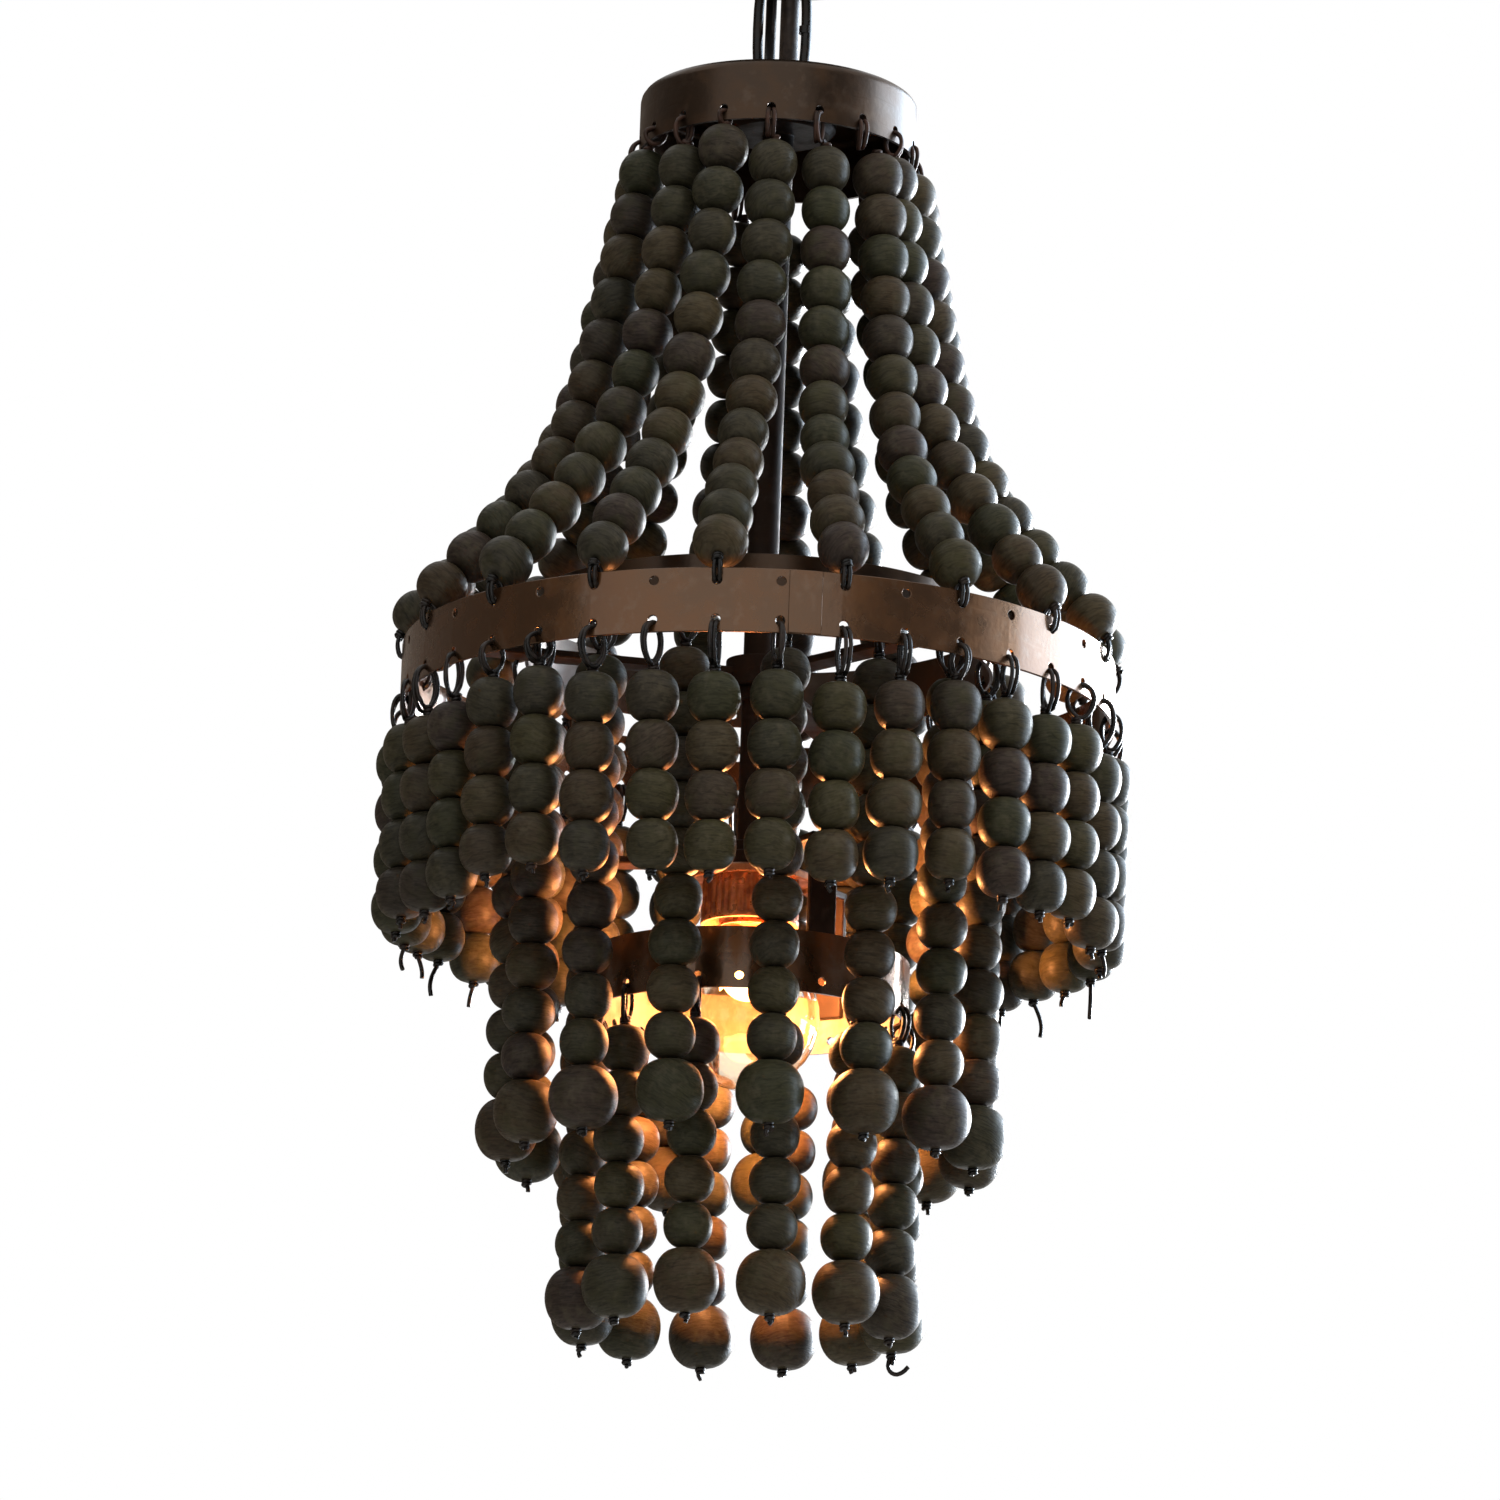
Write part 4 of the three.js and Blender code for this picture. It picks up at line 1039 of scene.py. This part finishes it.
def makeBulb():
    b, f = bulbSet, filamentSet
    outline = globeOutline(0) + globeOutline(b["wall"])[::-1]
    settle(makeGlassPiece("bulb_glass", outline, b["steps"]), "bulb", "glass", "bulb")
    low = b["top"] - b["base"]
    outline = [(b["neck"] - 1.5, low + 0.2), (b["neck"] - 0.1, low + 0.2)]
    steps = b["turns"] * 4
    for step in range(steps + 1):
        wave = 0.5 - 0.5 * math.cos(step / steps * b["turns"] * fullTurn)
        outline.append((b["neck"] - 0.2 - b["thread"] * wave, low + 1 + step / steps * (b["base"] - 5)))
    outline += [(radius, b["top"] - depth) for radius, depth in tipShape]
    base = newPiece("bulb_base", spinOutline(outline, b["baseSteps"]), litSocketMetal, sharp=60)
    settle(base, "bulb", "socket")
    foot = low - stalkDrop
    stalk = [(radius, foot + height) for radius, height in stalkShape]
    settle(makeGlassPiece("bulb_stalk", stalk, b["stalkSteps"]), "bulb", "glass")
    leads = [([spot(x, side, foot + z) for x, z in f["leads"]], False) for side in (-90, 90)]
    settle(wireMesh("bulb_leads", leads, f["leadWire"], iron, around=1), "bulb", "iron")
    zigzag = []
    for step in range(f["steps"] + 1):
        bounce = -f["fall"] if step % 2 else f["rise"]
        zigzag.append(spot(f["radius"], -90 + 180 * step / f["steps"], foot - f["drop"] + bounce))
    coil = wireMesh("bulb_filament", [(zigzag, False)], f["wire"], filamentGlow, around=1, steps=2)
    settle(coil, "bulb", "glass")


makeHolder()
makeBulb()
print("lamp made")


# Hanging hardware: loops, link, canopy and strap
loopSet = {"wire": 4.4, "wide": 17.0, "flange": 11, "flangeHigh": 3, "sunk": 1.5, "ease": 0.9, "steps": 48}
linkSet = {"wire": 4.4, "halfWide": 9.55, "weld": 0.7, "weldHalf": 1.6}
canopySet = {
    "radius": 57.5, "sheet": 1.4, "shoulder": 5, "bore": 5.4, "lip": 4, "lipHigh": 1.3, "rimEase": 0.4,
    "steps": 96, "cordRoom": 0.8, "drill": 12, "ease": 0.3}
knobSet = {"radius": 5, "high": 4, "spacing": 38, "sunk": 0.5, "cut": 0.35}
strapEase = 0.4
grommetShape = {
    "room": 0.35, "steps": 32,
    "outline": [(0, -2.4), (1.6, -2.4), (1.1, 0.1), (2.8, 0.2), (2.8, 0.9), (0.6, 1.6), (0, 1.3)]}


def makeLoop(name, node, body, bar, face, rise):
    # a bar bent over a flange; rise is 1 where it stands and -1 where it hangs
    radius = loopSet["wide"] / 2 * mm
    foot = face - rise * loopSet["sunk"] * mm
    bend = arc(radius, math.pi, math.pi - rise * math.pi, 8, (0, bar - rise * radius))
    places = [Vector((0, y, z)) for y, z in [(-radius, foot)] + bend + [(radius, foot)]]
    settle(wireMesh(name + "_bar", [(places, False)], loopSet["wire"], bronze, 4, 4), body, "bronze")
    high = (max(face, face - rise * loopSet["flangeHigh"] * mm) - crownTop) / mm
    low = high - loopSet["flangeHigh"]
    outline = [(0, low), (loopSet["flange"], low), (loopSet["flange"], high), (0, high)]
    flange = newPiece(name + "_flange", spinOutline(outline, loopSet["steps"]), bronze)
    settle(softenEdges(flange, loopSet["ease"], 3), body, "bronze", node)


def makeLink():
    low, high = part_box("chain_link")
    half, wire = linkSet["halfWide"] * mm, linkSet["wire"] / 2 * mm
    bends = arc(half, 0, math.pi, 8, (0, high.z - wire - half))
    bends += arc(half, math.pi, fullTurn, 8, (0, low.z + wire + half))
    places = [Vector((x, 0, z)) for x, z in bends]
    settle(wireMesh("link", [(places, True)], linkSet["wire"], iron, 5, 4), "link", "iron", "chain_link")
    # the weld that closes the link
    middle = Vector((half, 0, (low.z + high.z) / 2))
    seam = [middle + upward * share * linkSet["weldHalf"] * mm for share in (1, 0, -1)]
    weld = wireMesh("link_weld", [(seam, False)], linkSet["wire"] + linkSet["weld"], iron, around=5)
    settle(weld, "link", "iron")


def makeCanopy():
    c = canopySet
    low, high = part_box("ceiling_canopy")
    top, bottom = (high.z - crownTop) / mm, (low.z - crownTop) / mm
    r, lip = c["radius"], c["radius"] - c["lip"]
    middle = (r - c["shoulder"], bottom + c["shoulder"])
    inside = c["shoulder"] - c["sheet"]
    outline = [(c["bore"], bottom)] + arc(c["shoulder"], -math.pi / 2, 0, 6, middle)
    outline += [(r, top - c["rimEase"]), (r - c["rimEase"], top), (lip, top), (lip, top - c["lipHigh"]),
                (r - c["sheet"], top - c["lipHigh"])]
    outline += arc(inside, 0, -math.pi / 2, 6, middle) + [(c["bore"], bottom + c["sheet"])]
    shell = newPiece("canopy_shell", spinOutline(outline, c["steps"], True), bronze)
    for cord in cordSet.values():
        start = Vector((*cordRoute(cord)[0][:2], low.z))
        drillHoles(shell, [(start, upward)], cord["width"] + c["cordRoom"], c["drill"])
    settle(softenEdges(shell, c["ease"]), "ceiling", "bronze", "ceiling_canopy")


def makeKnobs():
    # the two cap nuts under the canopy, each a flattened ball cut off where it meets the sheet
    k = knobSet
    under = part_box("ceiling_canopy")[0].z
    bm = bmesh.new()
    for side in (-1, 1):
        made = bmesh.ops.create_uvsphere(bm, u_segments=24, v_segments=12, radius=k["radius"] * mm)["verts"]
        bmesh.ops.scale(bm, vec=(1, 1, k["high"] / k["radius"]), verts=made)
        bmesh.ops.translate(bm, vec=(side * k["spacing"] * mm, 0, under - k["sunk"] * mm), verts=made)
    bmesh.ops.bisect_plane(bm, geom=bm.verts[:] + bm.edges[:] + bm.faces[:],
                           plane_co=(0, 0, under - k["cut"] * mm), plane_no=upward, clear_outer=True)
    bmesh.ops.holes_fill(bm, edges=[e for e in bm.edges if e.is_boundary])
    bmesh.ops.recalc_face_normals(bm, faces=bm.faces)
    settle(newPiece("canopy_knobs", bm, bronze), "ceiling", "bronze")


def makeGrommets():
    # rubber bushes where the cords enter the crown
    for node, cord in cordSet.items():
        inner = cord["width"] / 2 + grommetShape["room"]
        outline = [(inner + x, z) for x, z in grommetShape["outline"]]
        bm = spinOutline(outline, grommetShape["steps"], True)
        bmesh.ops.translate(bm, vec=(*cordRoute(cord)[-1][:2], 0), verts=bm.verts)
        settle(newPiece(node + "_grommet", bm, blackSheath, sharp=50), "fixture", "black_cord")


def dressStrap():
    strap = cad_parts["ceiling_crossbar"]
    strap.data.materials.clear()
    strap.data.materials.append(iron)
    softenEdges(strap, strapEase)


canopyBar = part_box("canopy_loop")[0].z + loopSet["wire"] / 2 * mm
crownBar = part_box("crown_loop")[1].z - loopSet["wire"] / 2 * mm
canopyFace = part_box("ceiling_canopy")[0].z - loopSet["flangeHigh"] * mm
crownFace = crownTop + loopSet["flangeHigh"] * mm
makeLoop("hanging_loop", "canopy_loop", "ceiling", canopyBar, canopyFace, -1)
makeLoop("standing_loop", "crown_loop", "fixture", crownBar, crownFace, 1)
makeLink()
makeCanopy()
makeKnobs()
makeGrommets()
dressStrap()
print("hanging hardware made")


# Studio: places and widths here are metres
studioSet = {
    "floor": -4.2, "floorWide": 24, "floorColour": (0.80, 0.79, 0.77), "floorRough": 0.9, "floorGlow": 0.75,
    "white": (1.0, 1.0, 1.0), "skyColour": (1.0, 0.965, 0.91), "above": 0.49, "below": 0.31}
lightSet = {
    "key": {"place": (1.9, -1.6, 1.4), "size": 1.6, "power": 40, "colour": (1.0, 0.98, 0.94),
            "glossy": False},
    "rim": {"place": (1.5, 1.9, -0.1), "size": 0.9, "power": 165, "colour": (0.95, 0.97, 1.0)},
    "window": {"place": (2.15, 1.15, 0.0), "size": 2.6, "power": 200, "colour": (0.62, 0.80, 1.0),
               "diffuse": False}}
lampSet = {"height": -372, "power": 4.4, "size": 0.012, "colour": (1.0, 0.36, 0.11)}
screenSet = {
    "radius": 2.6, "low": -1.6, "high": 1.8, "steps": 12,
    "left": {"from": -58, "to": -175, "colour": (0.14, 0.11, 0.085)},
    "right": {"from": 26, "to": 74, "colour": (0.16, 0.14, 0.13)}}


def addLight(name, kind, settings, place):
    light = bpy.data.lights.new(name, kind)
    light.energy = settings["power"]
    light.color = settings["colour"]
    lamp = addObject(name, light)
    lamp.location = place
    lamp.visible_glossy = settings.get("glossy", True)
    lamp.visible_diffuse = settings.get("diffuse", True)
    return lamp


def makeLights():
    aim = spot(0, 0, cameraSet["aim"])
    for name, settings in lightSet.items():
        lamp = addLight(name, "AREA", settings, settings["place"])
        lamp.data.shape = "SQUARE"
        lamp.data.size = settings["size"]
        lamp.rotation_mode = "QUATERNION"
        lamp.rotation_quaternion = (aim - lamp.location).to_track_quat("-Z", "Y")
    lamp = addLight("bulbLight", "POINT", lampSet, spot(0, 0, lampSet["height"]))
    lamp.data.shadow_soft_size = lampSet["size"]
    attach(lamp, "bulb")


def makeScreen(name):
    # a dark curved screen that only gloss sees, so the metal beside the window's reflection stays dark
    screen = screenSet[name]
    bm = bmesh.new()
    start = outward(screen["from"]) * screenSet["radius"]
    ends = [bm.verts.new((start.x, start.y, screenSet[end])) for end in ("low", "high")]
    bmesh.ops.spin(bm, geom=ends + [bm.edges.new(ends)], axis=upward, cent=(0, 0, 0),
                   steps=screenSet["steps"], angle=math.radians(screen["to"] - screen["from"]))
    cloth, tree, shader = newMaterial(name + "Cloth")
    feed(tree, shader, {"Base Color": screen["colour"], "Roughness": 1.0})
    made = newPiece(name + "_screen", bm, cloth)
    made.visible_camera = False
    made.visible_diffuse = False
    made.visible_transmission = False
    made.visible_shadow = False


def makeFloor():
    # the camera sees it as white, as in the photograph
    bm = bmesh.new()
    bmesh.ops.create_grid(bm, x_segments=1, y_segments=1, size=studioSet["floorWide"] / 2)
    bmesh.ops.translate(bm, vec=(0, 0, studioSet["floor"]), verts=bm.verts)
    paint, tree, shader = newMaterial("floorPaint")
    rays = put(tree, "ShaderNodeLightPath").outputs
    feed(tree, shader, {
        "Base Color": studioSet["floorColour"], "Roughness": studioSet["floorRough"],
        "Emission Color": studioSet["white"],
        "Emission Strength": spread(tree, rays["Is Camera Ray"], 0.0, studioSet["floorGlow"])})
    newPiece("floor", bm, paint)


def makeWorld():
    # white where the camera, gloss and glass look, and a plain level everywhere else
    world = bpy.data.worlds.new("studio")
    bpy.context.scene.world = world
    world.use_nodes = True
    tree = world.node_tree
    heading = put(tree, "ShaderNodeSeparateXYZ", {0: put(tree, "ShaderNodeTexCoord").outputs["Generated"]})
    level = rangeOf(tree, heading.outputs["Z"], -1.0, 1.0, studioSet["below"], studioSet["above"])
    soft = tree.nodes["Background"]
    feed(tree, soft, {"Color": studioSet["skyColour"], "Strength": level})
    white = put(tree, "ShaderNodeBackground", {"Color": studioSet["white"]})
    rays = put(tree, "ShaderNodeLightPath").outputs
    seen = maths(tree, "MAXIMUM", rays["Is Camera Ray"], rays["Is Glossy Ray"])
    seen = maths(tree, "MAXIMUM", seen, rays["Is Transmission Ray"])
    both = put(tree, "ShaderNodeMixShader", {0: seen, 1: soft.outputs[0], 2: white.outputs[0]})
    plug(tree, tree.nodes["World Output"].inputs["Surface"], both.outputs[0])


makeFloor()
makeScreen("left")
makeScreen("right")
makeLights()
makeWorld()
bpy.context.scene.view_settings.view_transform = "Standard"
print("studio ready")
